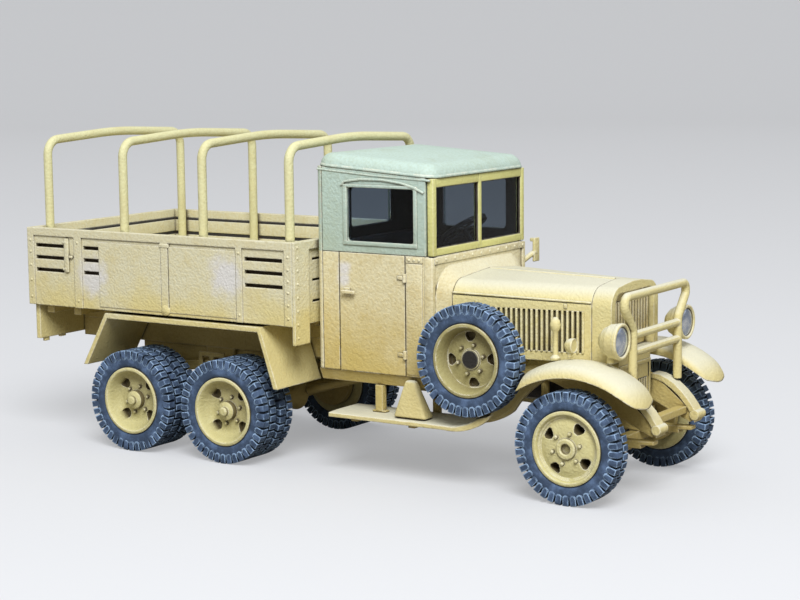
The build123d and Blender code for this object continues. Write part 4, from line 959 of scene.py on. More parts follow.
def make_bars():
    """Round hoops over the bed, and the round brush guard with its two cross bars."""
    mesh = bmesh.new()
    for x in HOOP_X:
        add_tube(mesh, arc_points([(x, y, z) for y, z in HOOP_LINE], HOOP_BENDS), HOOP_BAR, 16)
    close_piece(mesh, "round_hoops", SAND_HOOP, hides=["hoops"])
    mesh = bmesh.new()
    add_tube(mesh, arc_points([(GUARD_X, y, z) for y, z in GUARD_LINE], GUARD_BENDS), GUARD_BAR, 16)
    for z in CROSS_BARS_Z:
        add_tube(mesh, [(GUARD_X, side * GUARD_POST_Y, z) for side in SIDES], CROSS_BAR, 12)
    close_piece(mesh, "round_brush_guard", SAND_TOP, hides=["brush_guard"])


make_bars()

# %% [markdown]
# ## Roof
# The roof skin is a shallow dome that rolls over into the sides and the front with one soft radius. It is
# built from rings: the plan outline is drawn in step by step while it climbs a quarter circle, and then
# shrinks to the middle of the crown. A thin bead runs round its lower edge where the skin was glued on.

# %% Roof skin and gutter bead
ROOF_X = (-0.05, 14.24)
ROOF_HALF = 9.55
ROOF_EDGE = (31.9, 30.94)
ROOF_RUN = 14.1
ROOF_ROLL = 1.35
ROLL_STEPS = 8
ROOF_CROWN = 0.5
CROWN_RINGS = (0.9, 0.75, 0.55, 0.3)
ROOF_PLAN_CORNER = 1.6
ROOF_BEAD = 0.13
BEAD_INSET = 0.06
BEAD_RISE = 0.1


def roof_edge_z(x):
    """Height of the roof's lower edge in mm, which slopes down to the front."""
    return ROOF_EDGE[0] + (ROOF_EDGE[1] - ROOF_EDGE[0]) * x / ROOF_RUN


def plan_outline(inset, corner_steps=6):
    """Rounded rectangle of the roof in plan, drawn in by an inset in mm."""
    corner = max(ROOF_PLAN_CORNER - inset, 0.05)
    low_x, high_x = ROOF_X[0] + inset + corner, ROOF_X[1] - inset - corner
    half = ROOF_HALF - inset - corner
    points = []
    for quarter, (x, y) in enumerate(((high_x, half), (low_x, half), (low_x, -half), (high_x, -half))):
        for step in range(corner_steps + 1):
            angle = radians(90 * (quarter + step / corner_steps))
            points.append((x + corner * cos(angle), y + corner * sin(angle)))
    return points


def make_roof():
    """Roof skin from rings, and the bead along its lower edge."""
    rings = []
    for step in range(ROLL_STEPS + 1):
        angle = radians(90 * step / ROLL_STEPS)
        outline = plan_outline(ROOF_ROLL * (1 - cos(angle)))
        rings.append([(x, y, roof_edge_z(x) + ROOF_ROLL * sin(angle)) for x, y in outline])
    middle_x = sum(ROOF_X) / 2
    half = ROOF_HALF - ROOF_ROLL
    for share in CROWN_RINGS:
        ring = []
        for outer_x, outer_y in plan_outline(ROOF_ROLL):
            x, y = middle_x + (outer_x - middle_x) * share, outer_y * share
            crown = ROOF_CROWN * (1 - (y / half) ** 2) * (1 - share**4)
            ring.append((x, y, roof_edge_z(x) + ROOF_ROLL + crown))
        rings.append(ring)
    mesh = bmesh.new()
    add_loft(mesh, rings)
    bead = [(x, y, roof_edge_z(x) + BEAD_RISE) for x, y in plan_outline(BEAD_INSET)]
    add_tube(mesh, bead, ROOF_BEAD, 8, closed=True)
    close_piece(mesh, "roof_skin", GREY_GREEN, slot="grey_green_paint", hides=["roof"])


make_roof()

# %% [markdown]
# ## Front mudguards
# On the model each mudguard is one moulding with the running board: a crowned strip that rolls over at its
# edges, sweeps down behind the wheel and flattens into the board. One rounded section is carried along that
# path, and the wheel arch and the spare wheel's well are cut from it afterwards.

# %% Mudguards with running boards
GUARD_INNER = 5.75
GUARD_OUTER = 11.34
GUARD_RIDGE = 8.6
GUARD_LIP = -2.6
GUARD_SHEET = 0.5
# centre x and z, radius, start and end angle, and the side of the ridge for nose, crown and sweep
GUARD_ARCS = (
    (33.606, 8.879, 4.0, 8.0, 55.0, 1),
    (30.05, 3.8, 10.2, 55.0, 147.05, 1),
    (16.457, 12.61, 6.0, -32.95, -90.0, -1),
)
# how flat the section is where the sweep starts, and the angles between which the crown gets there
SWEEP_START_FLAT = 0.62
FLATTENING = (1.9, 2.566)
ARCH = ((22.6, 9.0), (30.06, 12.49), (37.9, 9.25))
ARCH_Y = (4, 14)
WELL = (19.41, 13.41)
WELL_Y = (9.64, 13.64)
WELL_RADIUS = 5.85
BOARD_REAR = 2.49
BOARD_TOP = 6.61
MIRRORED = Matrix.Scale(-1, 4, (0, 1, 0))


def guard_section():
    """Closed rounded section as (y, height over the ridge), and the same points as a flat plate."""
    outer_y, inner_y = GUARD_OUTER - GUARD_SHEET, GUARD_INNER + GUARD_SHEET
    outer = [(GUARD_INNER, GUARD_LIP), (GUARD_INNER, -0.55), (GUARD_RIDGE, 0), (GUARD_OUTER, -0.6)]
    outer.append((GUARD_OUTER, GUARD_LIP))
    inner = [(outer_y, GUARD_LIP), (outer_y, -1.1), (GUARD_RIDGE, -GUARD_SHEET), (inner_y, -1.05)]
    inner.append((inner_y, GUARD_LIP))
    skin, lining = [
        [(point.x, point.z) for point in arc_points([(y, 0, z) for y, z in line], bends, 6)]
        for line, bends in ((outer, (0.7, 6, 1.5)), (inner, (1.0, 6, 0.3)))
    ]
    plate = [(y, -GUARD_SHEET if height < -1.9 else 0.06 * height) for y, height in skin]
    plate += [(y, -GUARD_SHEET) for y, height in lining]
    return skin + lining, plate


def guard_path():
    """Points of the ridge with the direction that is up there, and how far the section is flattened."""
    path = []
    for centre_x, centre_z, radius, start, end, side in GUARD_ARCS:
        steps = max(4, int(abs(end - start) / 4))
        for step in range(steps + 1):
            angle = radians(start + (end - start) * step / steps)
            up = (side * cos(angle), side * sin(angle))
            along = max(0, (angle - FLATTENING[0]) / (FLATTENING[1] - FLATTENING[0]))
            flat = SWEEP_START_FLAT * along**2
            if side < 0:
                flat = SWEEP_START_FLAT + (1 - SWEEP_START_FLAT) * step / steps
            path.append((centre_x + radius * cos(angle), centre_z + radius * sin(angle), up, flat))
    path.append((BOARD_REAR, BOARD_TOP, (0, 1), 1.0))
    return path


def circle_through(first, second, third):
    """Centre and radius of the circle through three points."""
    (ax, az), (bx, bz), (cx, cz) = first, second, third
    turn = 2 * (ax * (bz - cz) + bx * (cz - az) + cx * (az - bz))
    squares = [x * x + z * z for x, z in (first, second, third)]
    x = (squares[0] * (bz - cz) + squares[1] * (cz - az) + squares[2] * (az - bz)) / turn
    z = (squares[0] * (cx - bx) + squares[1] * (ax - cx) + squares[2] * (bx - ax)) / turn
    return x, z, ((ax - x) ** 2 + (az - z) ** 2) ** 0.5


def drum(x, z, radius, ends, segments):
    """New bmesh with a cylinder that lies along Y between two ends in mm."""
    mesh = bmesh.new()
    length = ends[1] - ends[0]
    profile = [(0, 0), (radius, 0), (radius, length), (0, length)]
    add_turned(mesh, profile, (x, ends[0], z), (x, ends[1], z), segments)
    return mesh


def make_mudguards():
    """Left mudguard and board, cut to shape, with its mirror image."""
    section, plate = guard_section()
    rings = []
    for x, z, (up_x, up_z), flat in guard_path():
        ring = []
        for (y, crowned), (_, level) in zip(section, plate):
            height = crowned + (level - crowned) * flat
            ring.append((x + up_x * height, y, z + up_z * height))
        rings.append(ring)
    mesh = bmesh.new()
    add_loft(mesh, rings)
    bmesh.ops.remove_doubles(mesh, verts=mesh.verts, dist=SAME_PLACE)
    centre_x, centre_z, radius = circle_through(*ARCH)
    arched = cut_away(pattern_shape(mesh, "guard_blank"), drum(centre_x, centre_z, radius, ARCH_Y, 96))
    shaped = cut_away(new_object("arched", arched), drum(*WELL, WELL_RADIUS, WELL_Y, 64))
    close_piece(join_copies(shaped, (UNTURNED, MIRRORED)), "rolled_mudguards", SAND_TOP, hides=["mudguards"])


make_mudguards()

# %% [markdown]
# ## On the mudguards
# A rounded wedge stands on each running board behind the spare wheel. The marker post is a thin rod with a
# round head, so that the driver sees the mudguard's edge, and the side lamp beside it is a small bowl on a
# stem. Straps hang the boards from the frame, with a thin post up to the sill. All are turned or bevelled
# shapes in the place of the plainer solids.

# %% Wedges, marker posts and side lamps
WEDGE_BASE = [(10.0, 8.9), (13.9, 8.9), (13.9, 10.7), (10.0, 10.7)]
WEDGE_CREST = [(11.1, 9.3), (12.2, 9.3), (12.2, 10.1), (11.1, 10.1)]
WEDGE_Z = (6.66, 10.45)
WEDGE_ROUND = 0.28
POST_PLACE = (27.3, 8.1)
POST_PROFILE = [
    (0, 13.6), (0.5, 13.6), (0.5, 13.85), (0.26, 14.1), (0.24, 15.4), (0.28, 16.4), (0.5, 16.7), (0.54, 17.1),
    (0.44, 17.5), (0.2, 17.78), (0, 17.83),
]
SIDE_LAMP = (29.6, 8.4, 15.2)
LAMP_BOWL = [
    (0, -1.08), (0.3, -1.02), (0.58, -0.8), (0.72, -0.45), (0.74, -0.08), (0.66, -0.02), (0.6, -0.1),
    (0, -0.12),
]
STEM_X = 29.05
STEM_Z = (14.02, 14.7)
STEM_RADIUS = 0.24
STRAP_X = (5.0, 12.0)
STRAP_Y = (5.05, 10.3)
STRAP_Z = (5.65, 6.08)
STRAP_HALF = 0.4
HANGER_LOW = 6.0
HANGER_Y = 5.6
SILL_POST_X = 7.2
SILL_POST_Y = (8.2, 9.0)
SILL_POST_TOP = 9.46
SILL_POST_HALF = 0.45
SILL_FOOT_HALF = 0.8
SILL_FOOT_TOP = BOARD_TOP + 0.2


def make_wedges():
    """Tapering blocks with every edge rounded."""
    mesh = bmesh.new()
    for side in SIDES:
        faces = add_loft(mesh, [
            [(x, side * y, z) for x, y in outline] for outline, z in zip((WEDGE_BASE, WEDGE_CREST), WEDGE_Z)
        ])
        edges = list({edge for face in faces for edge in face.edges})
        bmesh.ops.bevel(mesh, geom=edges, offset=WEDGE_ROUND * MM, segments=3, profile=0.5, affect="EDGES")
    close_piece(mesh, "rounded_wedges", SAND_TOP, hides=["spare_chocks"])


def add_box(mesh, low, high, bevel=0.0):
    """Box between two corners in mm, with its edges bevelled by that many mm."""
    made = bmesh.ops.create_cube(mesh, size=1)["verts"]
    size = Vector(high) - Vector(low)
    middle = (Vector(high) + Vector(low)) / 2
    place = Matrix.Translation(middle * MM) @ Matrix.Diagonal((*[abs(side) * MM for side in size], 1))
    bmesh.ops.transform(mesh, matrix=place, verts=made)
    if bevel:
        edges = list({edge for vert in made for edge in vert.link_edges})
        bmesh.ops.bevel(mesh, geom=edges, offset=bevel * MM, segments=2, profile=0.6, affect="EDGES")


def add_pair(mesh, low, high, bevel=0.0):
    """Box on the left and its mirror image on the right."""
    for side in SIDES:
        add_box(mesh, (low[0], side * low[1], low[2]), (high[0], side * high[1], high[2]), bevel)


def make_straps():
    """Straps that hang the boards from the frame, and the posts between board and sill."""
    mesh = bmesh.new()
    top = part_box("board_brackets")[1].z / MM
    for x in STRAP_X:
        low_x, high_x = x - STRAP_HALF, x + STRAP_HALF
        add_pair(mesh, (low_x, STRAP_Y[0], STRAP_Z[0]), (high_x, STRAP_Y[1], STRAP_Z[1]), 0.06)
        add_pair(mesh, (low_x, STRAP_Y[0], HANGER_LOW), (high_x, HANGER_Y, top), 0.06)
    for half, high_z, bevel in ((SILL_POST_HALF, SILL_POST_TOP, 0.1), (SILL_FOOT_HALF, SILL_FOOT_TOP, 0.06)):
        low = (SILL_POST_X - half, SILL_POST_Y[0], BOARD_TOP)
        add_pair(mesh, low, (SILL_POST_X + half, SILL_POST_Y[1], high_z), bevel)
    close_piece(mesh, "board_straps", SAND_UNDER, hides=["board_brackets"])


def make_posts_and_lamps():
    """Marker post and side lamp on both mudguards."""
    posts = bmesh.new()
    lamps = bmesh.new()
    for side in SIDES:
        post_x, post_y = POST_PLACE[0], side * POST_PLACE[1]
        add_turned(posts, POST_PROFILE, (post_x, post_y, 0), (post_x, post_y, 1), 20)
        x, y, z = SIDE_LAMP[0], side * SIDE_LAMP[1], SIDE_LAMP[2]
        add_turned(lamps, LAMP_BOWL, (x, y, z), (x + 1, y, z), 28)
        add_tube(lamps, [(STEM_X, y, end) for end in STEM_Z], STEM_RADIUS, 10)
    close_piece(posts, "turned_posts", SAND_TOP, hides=["marker_posts"])
    close_piece(lamps, "turned_side_lamps", SAND_TOP, hides=["side_lamps"])


make_wedges()
make_straps()
make_posts_and_lamps()

# %% [markdown]
# ## Windows
# The windscreen is a thin frame with one middle post, and its panes reach almost to the scuttle. The side
# windows have a raised border round them, and a curved drip moulding above that keeps rain from the door.

# %% Windscreen, panes and window borders
SCREEN_X = (13.4, 14.1)
SCREEN_Z = (23.11, 30.88)
SCREEN_POSTS = ((-9.21, -8.55), (-0.28, 0.28), (8.55, 9.21))
SCREEN_GAPS = ((-8.56, -0.27), (0.27, 8.56))
SCREEN_PANES = ((-8.5, -0.3), (0.3, 8.5))
PANE_X = (13.62, 13.78)
PANE_Z = (23.85, 30.0)
PANE_PLAY = 0.02
SIDE_PANE = ((3.93, 9.1, 24.31), (11.94, 9.24, 29.74))
BACK_PANE = ((0.28, -3.94, 25.06), (0.42, 3.94, 29.14))
SEAL_X = (13.55, 13.98)
SEAL_HALF_Z = 0.07
SEAL_HALF_Y = 0.06
WINDOW_X = (3.87, 12.0)
WINDOW_Z = (24.25, 29.8)
BORDER_X = (WINDOW_X[0] - 0.45, WINDOW_X[1] + 0.4)
BORDER_LAP = 0.03
# height ranges of a border's lower and upper rail, and length ranges of its uprights
BORDER_RAILS = (
    (WINDOW_Z[0] - 0.4, WINDOW_Z[0] + BORDER_LAP), (WINDOW_Z[1] - BORDER_LAP, WINDOW_Z[1] + 0.3),
)
BORDER_UPRIGHTS = ((BORDER_X[0], WINDOW_X[0] + BORDER_LAP), (WINDOW_X[1] - BORDER_LAP, BORDER_X[1]))
BORDER_BEVEL = 0.06
BORDER_Y = (9.42, 9.62)
# outer face of the borders' uprights on each side
UPRIGHT_Y = {-1: 9.62, 1: 9.61}
DRIP_LINE = [
    (3.2, 29.95), (3.6, 30.35), (5.6, 30.62), (8.2, 30.62), (10.4, 30.38), (12.0, 29.98), (13.2, 29.45),
]
DRIP_Y = 9.52
DRIP_RADIUS = 0.15
SEAM_LINE = [(x, roof_edge_z(x) - drop) for x, drop in ((0.2, 0.35), (7.0, 0.4), (13.9, 0.25))]
SEAM_Y = 9.46
SEAM_RADIUS = 0.12


def make_windscreen():
    """Windscreen frame, clear panes and the dark seals round the windscreen's panes."""
    bars = bmesh.new()
    for low_y, high_y in SCREEN_POSTS:
        add_box(bars, (SCREEN_X[0], low_y, SCREEN_Z[0]), (SCREEN_X[1], high_y, SCREEN_Z[1]), 0.06)
    for low_z, high_z in ((SCREEN_Z[0], PANE_Z[0]), (PANE_Z[1], SCREEN_Z[1])):
        for low_y, high_y in SCREEN_GAPS:
            add_box(bars, (SCREEN_X[0], low_y, low_z), (SCREEN_X[1] - 0.02, high_y, high_z), 0.06)
    close_piece(bars, "windscreen_bars", YELLOW, hides=["windscreen_frame"])

    panes = bmesh.new()
    for low_y, high_y in SCREEN_PANES:
        add_box(panes, (PANE_X[0], low_y, PANE_Z[0] + PANE_PLAY), (PANE_X[1], high_y, PANE_Z[1] - PANE_PLAY))
    add_pair(panes, *SIDE_PANE)
    add_box(panes, *BACK_PANE)
    close_piece(panes, "clear_panes", CLEAR, slot="clear_plastic", hides=["window_panes"])

    seals = bmesh.new()
    for low_y, high_y in SCREEN_GAPS:
        for z in PANE_Z:
            add_box(seals, (SEAL_X[0], low_y, z - SEAL_HALF_Z), (SEAL_X[1], high_y, z + SEAL_HALF_Z))
        for y in (low_y, high_y):
            add_box(seals, (SEAL_X[0], y - SEAL_HALF_Y, PANE_Z[0]), (SEAL_X[1], y + SEAL_HALF_Y, PANE_Z[1]))
    close_piece(seals, "pane_seals", DARK, slot="dark_interior")


def make_borders():
    """Raised borders round the side windows, drip mouldings and the seam under the roof."""
    mesh = bmesh.new()
    for low_z, high_z in BORDER_RAILS:
        add_pair(mesh, (BORDER_X[0], BORDER_Y[0], low_z), (BORDER_X[1], BORDER_Y[1], high_z), BORDER_BEVEL)
    for side, face in UPRIGHT_Y.items():
        for low_x, high_x in BORDER_UPRIGHTS:
            low = (low_x, side * BORDER_Y[0], WINDOW_Z[0])
            add_box(mesh, low, (high_x, side * face, WINDOW_Z[1]), BORDER_BEVEL)
        add_tube(mesh, [(x, side * DRIP_Y, z) for x, z in DRIP_LINE], DRIP_RADIUS, 8)
        add_tube(mesh, [(x, side * SEAM_Y, z) for x, z in SEAM_LINE], SEAM_RADIUS, 8)
    close_piece(mesh, "window_borders", GREY_GREEN, slot="grey_green_paint")


make_windscreen()
make_borders()

# %% [markdown]
# ## Cab fittings
# Under the windscreen runs a riveted strip. The doors have two barrel hinges each and a turning handle, and
# the cowl has a thin plate whose edge makes the seam that the photograph shows ahead of the door, and a
# rounded post at its front corner.

# %% Strip, hinges, handles and cowl plates
SCREEN_STRIP = ((14.0, -9.1, 22.28), (14.2, 9.1, 22.98), 0.05)
# two corners and the bevel of each box that both sides have:
# cowl plate, the strip over it, corner post, handle and the handle's plate
CAB_BOXES = (
    ((11.02, 9.4, 10.95), (12.95, 9.56, 22.3), 0.03),
    ((11.02, 9.4, 22.36), (13.0, 9.56, 22.95), 0.03),
    ((13.1, 8.8, 10.85), (14.12, 9.5, 22.98), 0.18),
    ((3.3, 9.8, 18.82), (4.95, 10.05, 19.18), 0.09),
    ((3.45, 9.44, 18.55), (4.15, 9.62, 19.45), 0.05),
)
PIN_RADIUS = 0.2
HINGE_Z = (20.8, 12.94)
HINGE_HALF = 0.45
HINGE_PLACE = (10.85, 9.6)
LEAF_X = (9.95, 10.8)
LEAF_HALF = 0.22
LEAF_FACE = 9.62
# inner face of the hinges' leaves on each side
LEAF_INNER = {-1: 9.56, 1: 9.4}
HANDLE_PLACE = (3.8, 19.0)
HANDLE_Y = (9.4, 9.95)


def make_cab_fittings():
    """Small raised fittings on the cab."""
    mesh = bmesh.new()
    add_box(mesh, *SCREEN_STRIP)
    for low, high, bevel in CAB_BOXES:
        add_pair(mesh, low, high, bevel)
    for side, inner in LEAF_INNER.items():
        for z in HINGE_Z:
            pin_x, pin_y = HINGE_PLACE[0], side * HINGE_PLACE[1]
            add_tube(mesh, [(pin_x, pin_y, z - HINGE_HALF), (pin_x, pin_y, z + HINGE_HALF)], PIN_RADIUS, 10)
            low = (LEAF_X[0], side * inner, z - LEAF_HALF)
            add_box(mesh, low, (LEAF_X[1], side * LEAF_FACE, z + LEAF_HALF), 0.04)
        add_tube(mesh, [(HANDLE_PLACE[0], side * y, HANDLE_PLACE[1]) for y in HANDLE_Y], PIN_RADIUS, 10)
    close_piece(mesh, "cab_fittings", SAND)


make_cab_fittings()

# %% [markdown]
# ## Bonnet
# The bonnet opens along a piano hinge down its middle and along a seam on each side, where a thin dark bar
# paints the seam's shade. Its louvres are pressed ribs with dark gaps between them, set in a slightly
# tapering side. Each row of ribs is one rounded bar repeated along the wall.

# %% Louvre ribs, hinges and seams
BONNET_X = (15.2, 29.72)
BONNET_HALF = (7.4, 5.2)
BONNET_TAPER = (BONNET_HALF[1] - BONNET_HALF[0]) / (BONNET_X[1] - BONNET_X[0])
LOUVRE_PITCH = 0.53
RIB_FIRST = 18.0 - LOUVRE_PITCH / 2
RIB_COUNT = 22
RIB_Z = (13.95, 18.15)
RIB_RADIUS = 0.14
BEAD_ENDS = ((15.25, 19.4), (29.68, 19.0))
BEAD_RADIUS = 0.11
SEAM_DROP = 0.12
SEAM_SHADE_BAR = 0.045
CATCH_X = (17.6, 26.9)
CATCH_WIDTH = 0.35
CATCH_Z = (18.35, 18.8)
TOP_HINGE = ((15.25, 0.05), (29.68, 0.3))
TOP_HINGE_RADIUS = 0.12


def bonnet_half(x):
    """Half width of the bonnet in mm at a place along it."""
    return BONNET_HALF[0] + BONNET_TAPER * (x - BONNET_X[0])


def make_bonnet_details():
    """Louvre ribs by a row tree on each side, then the hinge beads and the dark bars of painted seam shade
    under them.
    """
    ribs = bmesh.new()
    for side in SIDES:
        rib = bmesh.new()
        add_tube(rib, [(0, 0, z) for z in RIB_Z], RIB_RADIUS, 8)
        ribs.from_mesh(grow_copies(ROW, rib, {
            "Count": RIB_COUNT, "First": Vector((RIB_FIRST, side * (bonnet_half(RIB_FIRST) + 0.01), 0)) * MM,
            "Step": Vector((LOUVRE_PITCH, side * BONNET_TAPER * LOUVRE_PITCH, 0)) * MM, "Material": SAND_TOP,
        }))
    close_piece(ribs, "louvre_ribs", SAND_TOP)

    beads = bmesh.new()
    seams = bmesh.new()
    for side in SIDES:
        line = [(x, side * bonnet_half(x), z) for x, z in BEAD_ENDS]
        add_tube(beads, line, BEAD_RADIUS, 8)
        # a thin dark bar under each bead paints the shade of the side seam
        add_tube(seams, [(x, y - side * 0.01, z - SEAM_DROP) for x, y, z in line], SEAM_SHADE_BAR, 6)
    for x in CATCH_X:
        low = (x, bonnet_half(x) - 0.1, CATCH_Z[0])
        add_pair(beads, low, (x + CATCH_WIDTH, bonnet_half(x) + 0.1, CATCH_Z[1]), 0.04)
    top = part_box("bonnet")[1].z / MM
    add_tube(beads, [(x, 0, top - drop) for x, drop in TOP_HINGE], TOP_HINGE_RADIUS, 8)
    close_piece(beads, "bonnet_hinges", SAND_TOP)
    close_piece(seams, "bonnet_seams", DARK, slot="dark_interior")


make_bonnet_details()

# %% [markdown]
# ## Cargo bed
# The inside of the bed is lined with planks, with dark sheets behind them that paint the shade in the gaps
# between them. Outside, a latch bar with three hooks holds the rear panel, the middle rib ends in a round
# boss, two stubs stick out under the rear board, and rows of domed rivets hold the end strips.

# %% Planks, latches, bosses and rivets
PLANK_FIRST = 16.18
PLANK_HEIGHT = 1.4
PLANK_STEP = 1.77
PLANK_COUNT = 4
# low and high corner of each lined wall in plan
PLANK_WALLS = (
    ((-36.9, 12.12), (-1.32, 12.24)), ((-36.9, -12.24), (-1.32, -12.12)),
    ((-36.92, -12.1), (-36.8, 12.1)), ((-1.42, -12.1), (-1.3, 12.1)),
)
# dark sheets behind the planks, which paint the shade in the gaps between them
GAP_SHADE_WALLS = (
    ((-36.9, 12.2), (-1.32, 12.262)), ((-36.9, -12.262), (-1.32, -12.2)),
    ((-36.94, -12.1), (-36.88, 12.1)), ((-1.36, -12.1), (-1.28, 12.1)),
)
GAP_SHADE_Z = (16.15, 23.2)
# two corners and the bevel of each box that both sides have:
# latch bar, its hooks, the plate on the middle rib, and two stubs
HOOKS = [
    ((x, 12.82, z), (x + 0.55, 13.12, z + 0.3), 0.08)
    for x, z in ((-32.2, 22.5), (-32.2, 19.5), (-31.3, 20.9))
]
BED_BOXES = (
    ((-31.95, 12.8, 19.3), (-31.35, 13.1, 23.1), 0.12), *HOOKS,
    ((-18.3, 12.8, 22.75), (-16.95, 13.06, 23.2), 0.1),
    ((-37.1, 10.75, 10.98), (-36.75, 11.5, 11.5), 0.06),
    ((-37.1, 8.05, 11.15), (-36.75, 8.95, 11.5), 0.06),
)
BOSS_PLACE = (-17.63, 12.84, 16.0)
BOSS_PROFILE = [(0, 0), (0.62, 0), (0.6, 0.12), (0.45, 0.23), (0, 0.28)]
# x and heights of the rivets on the bed's sides, then heights on the headboard,
# x on the cowl and y on the windscreen's strip
RIVET_ROWS = (
    (-37.05, (16.3, 18.2, 19.9, 21.4, 22.7)), (-30.05, (16.2, 22.7)), (-7.58, (16.2, 22.7)),
    (-1.2, (16.2, 17.6, 18.9, 20.1, 21.3, 22.6)),
)
HEADBOARD_RIVETS = (14.2, 15.6, 17.0, 18.4, 19.8, 21.2, 22.5, 23.6)
COWL_RIVETS = (11.4, 12.0, 12.6)
STRIP_RIVETS = [-8.7 + 1.74 * step for step in range(11)]
BED_RIVET_Y = 12.98
HEADBOARD_RIVET_X, HEADBOARD_RIVET_Y = -0.36, 12.45
COWL_RIVET_Y, COWL_RIVET_Z = 9.55, 22.66
STRIP_RIVET_X, STRIP_RIVET_Z = 14.18, 22.63
RIVET_SIZE = {"Radius": 0.17 * MM, "Height": 0.12 * MM}


def make_planks():
    """Lining of the bed: four planks on each wall, from one plank repeated upwards, over dark sheets of
    painted shade in the gaps.
    """
    gaps = bmesh.new()
    for low, high in GAP_SHADE_WALLS:
        add_box(gaps, (*low, GAP_SHADE_Z[0]), (*high, GAP_SHADE_Z[1]))
    # the dark sheets paint the shade in the gaps between the planks
    close_piece(gaps, "plank_gaps", DARK, slot="dark_interior")
    lining = bmesh.new()
    for low, high in PLANK_WALLS:
        plank = bmesh.new()
        add_box(plank, (*low, 0), (*high, PLANK_HEIGHT), 0.05)
        lining.from_mesh(grow_copies(ROW, plank, {
            "Count": PLANK_COUNT, "First": Vector((0, 0, PLANK_FIRST)) * MM,
            "Step": Vector((0, 0, PLANK_STEP)) * MM, "Material": SAND_BED,
        }))
    close_piece(lining, "bed_planks", SAND_BED)


def make_bed_fittings():
    """Latch bars with hooks, rib plates, the stubs under the rear board, and rib bosses."""
    mesh = bmesh.new()
    for low, high, bevel in BED_BOXES:
        add_pair(mesh, low, high, bevel)
    x, y, z = BOSS_PLACE
    for side in SIDES:
        add_turned(mesh, BOSS_PROFILE, (x, side * y, z), (x, side * (y + 1), z), 20)
    close_piece(mesh, "bed_fittings", SAND_BED)


def make_rivets():
    """Domed rivets on the bed's strips, the headboard's strips and the strip under the windscreen."""
    points = []
    for side in SIDES:
        points += [((x, side * BED_RIVET_Y, z), (0, side, 0)) for x, heights in RIVET_ROWS for z in heights]
        points += [((HEADBOARD_RIVET_X, side * HEADBOARD_RIVET_Y, z), (1, 0, 0)) for z in HEADBOARD_RIVETS]
        points += [((x, side * COWL_RIVET_Y, COWL_RIVET_Z), (0, side, 0)) for x in COWL_RIVETS]
    points += [((STRIP_RIVET_X, y, STRIP_RIVET_Z), (1, 0, 0)) for y in STRIP_RIVETS]
    host = bpy.data.meshes.new("rivet_points")
    host.from_pydata([Vector(place) * MM for place, towards in points], [], [])
    facing = host.attributes.new("facing", "FLOAT_VECTOR", "POINT")
    facing.data.foreach_set("vector", [value for place, towards in points for value in towards])
    domes = grow(RIVETS, {**RIVET_SIZE, "Material": SAND_BED}, host)
    dress_mesh(domes, "strip_rivets", SAND_BED)


make_planks()
make_bed_fittings()
make_rivets()

# %% [markdown]
# ## Plates at the bogie
# Between the rear wheels the photograph shows a pierced bracket, with a deep plate under the frame rail
# behind it. Both are thin, so the bracket is drawn on a grid of lines with two cells left open and then
# given its thickness.

# %% Bracket and deep plate on each side
BRACKET_LINES_X = (-18.3, -17.85, -16.85, -16.25, -15.25, -14.8)
BRACKET_LINES_Z = (8.2, 9.0, 10.1, 10.6)
BRACKET_HOLES = ((1, 1), (3, 1))
BRACKET_Y = 6.4
BRACKET_SHEET = 0.25
DEEP_PLATE = ((-28.0, 4.2, 8.8), (-5.6, 4.5, 11.0))


def add_bracket(mesh, side):
    """Pierced bracket on one side, from the cells of its grid that aren't open."""
    corners = {
        (column, row): mesh.verts.new(Vector((x, side * BRACKET_Y, z)) * MM)
        for column, x in enumerate(BRACKET_LINES_X) for row, z in enumerate(BRACKET_LINES_Z)
    }
    faces = []
    for column in range(len(BRACKET_LINES_X) - 1):
        for row in range(len(BRACKET_LINES_Z) - 1):
            if (column, row) not in BRACKET_HOLES:
                around = ((column, row), (column + 1, row), (column + 1, row + 1), (column, row + 1))
                faces.append(mesh.faces.new([corners[corner] for corner in around]))
    drawn = bmesh.ops.extrude_face_region(mesh, geom=faces)["geom"]
    moved = [item for item in drawn if isinstance(item, bmesh.types.BMVert)]
    bmesh.ops.translate(mesh, vec=(0, side * BRACKET_SHEET * MM, 0), verts=moved)


def make_bogie_plates():
    """Pierced bracket outside each rear spring, and the deep plate under each rail."""
    mesh = bmesh.new()
    add_pair(mesh, *DEEP_PLATE)
    for side in SIDES:
        add_bracket(mesh, side)
    close_piece(mesh, "bogie_plates", SAND_UNDER)


make_bogie_plates()

# %% [markdown]
# ## Mirror
# The mirror stands out from the left of the cowl. In the photograph it is a slim upright plate whose top is
# turned in, so it takes the place of the solid's rounded head.

# %% Mirror plate on its arm
MIRROR_PLATE = ((13.95, 11.3, 20.5), (14.25, 12.4, 23.1), 0.1)
MIRROR_TOP = ((13.65, 11.3, 22.7), (13.97, 11.75, 23.1), 0.06)
MIRROR_ARM = ((13.0, 9.55, 20.2), (14.05, 11.75, 21.6))
MIRROR_ARM_RADIUS = 0.3


def make_mirror():
    """Slim upright mirror plate with a turned-in top, on its arm at the left of the cowl."""
    mesh = bmesh.new()
    add_box(mesh, *MIRROR_PLATE)
    add_box(mesh, *MIRROR_TOP)
    add_tube(mesh, MIRROR_ARM, MIRROR_ARM_RADIUS)
    close_piece(mesh, "mirror_plate", SAND_TOP, hides=["mirror_arm"])


make_mirror()

# %% [markdown]
# ## Front end
# Each headlamp has a rolled rim round a domed lens. The apron under the grille has a collar for the starting
# crank, with a dark disc that paints the shade of its hole, and a small louvred panel with a dark plate of
# painted shade between its bars; the frame horns end in round bosses for the spring pins.

